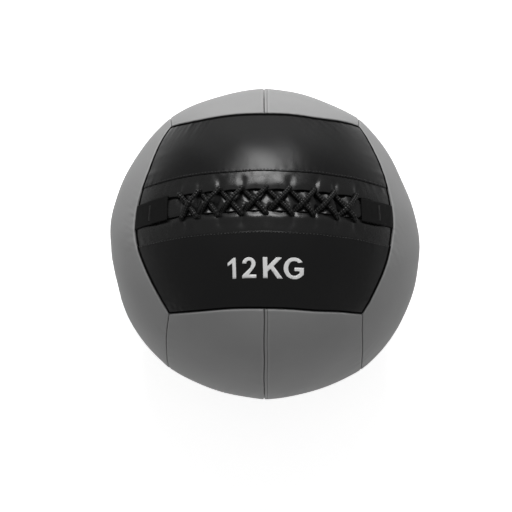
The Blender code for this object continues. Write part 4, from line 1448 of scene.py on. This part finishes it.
def mark_outlines():
    """The figures and letters of the weight, each one outline, 1 unit high."""
    one = [(0.225, 0), (0.225, 0.76), (0.02, 0.62), (0.02, 0.77), (0.29, 1.0), (0.385, 1.0), (0.385, 0)]
    two = arc((0.31, 0.70), (0.29, 0.30), 178, -36, 18) + [(0.29, 0.165), (0.62, 0.165), (0.62, 0)]
    two += [(0, 0), (0, 0.13), (0.37, 0.51)] + arc((0.31, 0.70), (0.115, 0.145), -34, 178, 14)
    kay = [(0, 0), (0, 1), (0.195, 1), (0.195, 0.58), (0.58, 1), (0.83, 1), (0.46, 0.60)]
    kay += [(0.86, 0), (0.62, 0), (0.325, 0.455), (0.195, 0.32), (0.195, 0)]
    gee = arc((0.47, 0.5), (0.47, 0.515), 36, 318, 30) + [(0.90, 0.22), (0.90, 0.54), (0.48, 0.54)]
    gee += [(0.48, 0.38), (0.71, 0.38), (0.71, 0.28)]
    gee += arc((0.47, 0.5), (0.27, 0.355), 304, 48, 24)
    return [(one, 0.0), (two, 0.65), (kay, 1.57), (gee, 2.47)]


MARK_HEIGHT = 0.0218
MARK_LEFT = -0.0370
MARK_BASE = 0.0800
MARK_WIDENED = 1.045
FILM = 0.0002


def weight_mark_mesh():
    """The mark as thin film on the lower panel, following its skin."""
    film = bmesh.new()
    for outline, shift in mark_outlines():
        corners = [film.verts.new((x + shift, y, 0)) for x, y in outline]
        film.faces.new(corners)
    film.normal_update()
    bmesh.ops.triangulate(film, faces=film.faces[:], ngon_method="EAR_CLIP")
    for axis, count in ((0, 34), (1, 11)):
        for cut in range(1, count):
            spot, normal = [0.0, 0.0, 0.0], [0.0, 0.0, 0.0]
            spot[axis], normal[axis] = cut * 0.1 - 0.013, 1.0
            parts = film.verts[:] + film.edges[:] + film.faces[:]
            bmesh.ops.bisect_plane(film, geom=parts, dist=1e-6, plane_co=spot, plane_no=normal)
    for vertex in film.verts:
        across = (-MARK_BASE + vertex.co.y * MARK_HEIGHT) / SEAM_RADIUS
        around = (MARK_LEFT + vertex.co.x * MARK_HEIGHT * MARK_WIDENED) / SEAM_RADIUS / math.cos(across)
        direction = settled(on_ball(around, across, SEAM_RADIUS))
        spot, normal = on_skin(LACED_SKINS[-1], direction)
        vertex.co = spot + 0.00016 * normal
    mesh = bpy.data.meshes.new("weight_mark")
    film.normal_update()
    film.to_mesh(mesh)
    film.free()
    mesh.shade_smooth()
    return mesh


pressed = mottled((420.0, 4.0), (0.90, 0.96), (0.4, 0.6), (0.2, 0.0001))
white_film = new_material("white_pressed_film", pressed)
mount("weight_mark", weight_mark_mesh(), [white_film], thickness=FILM)
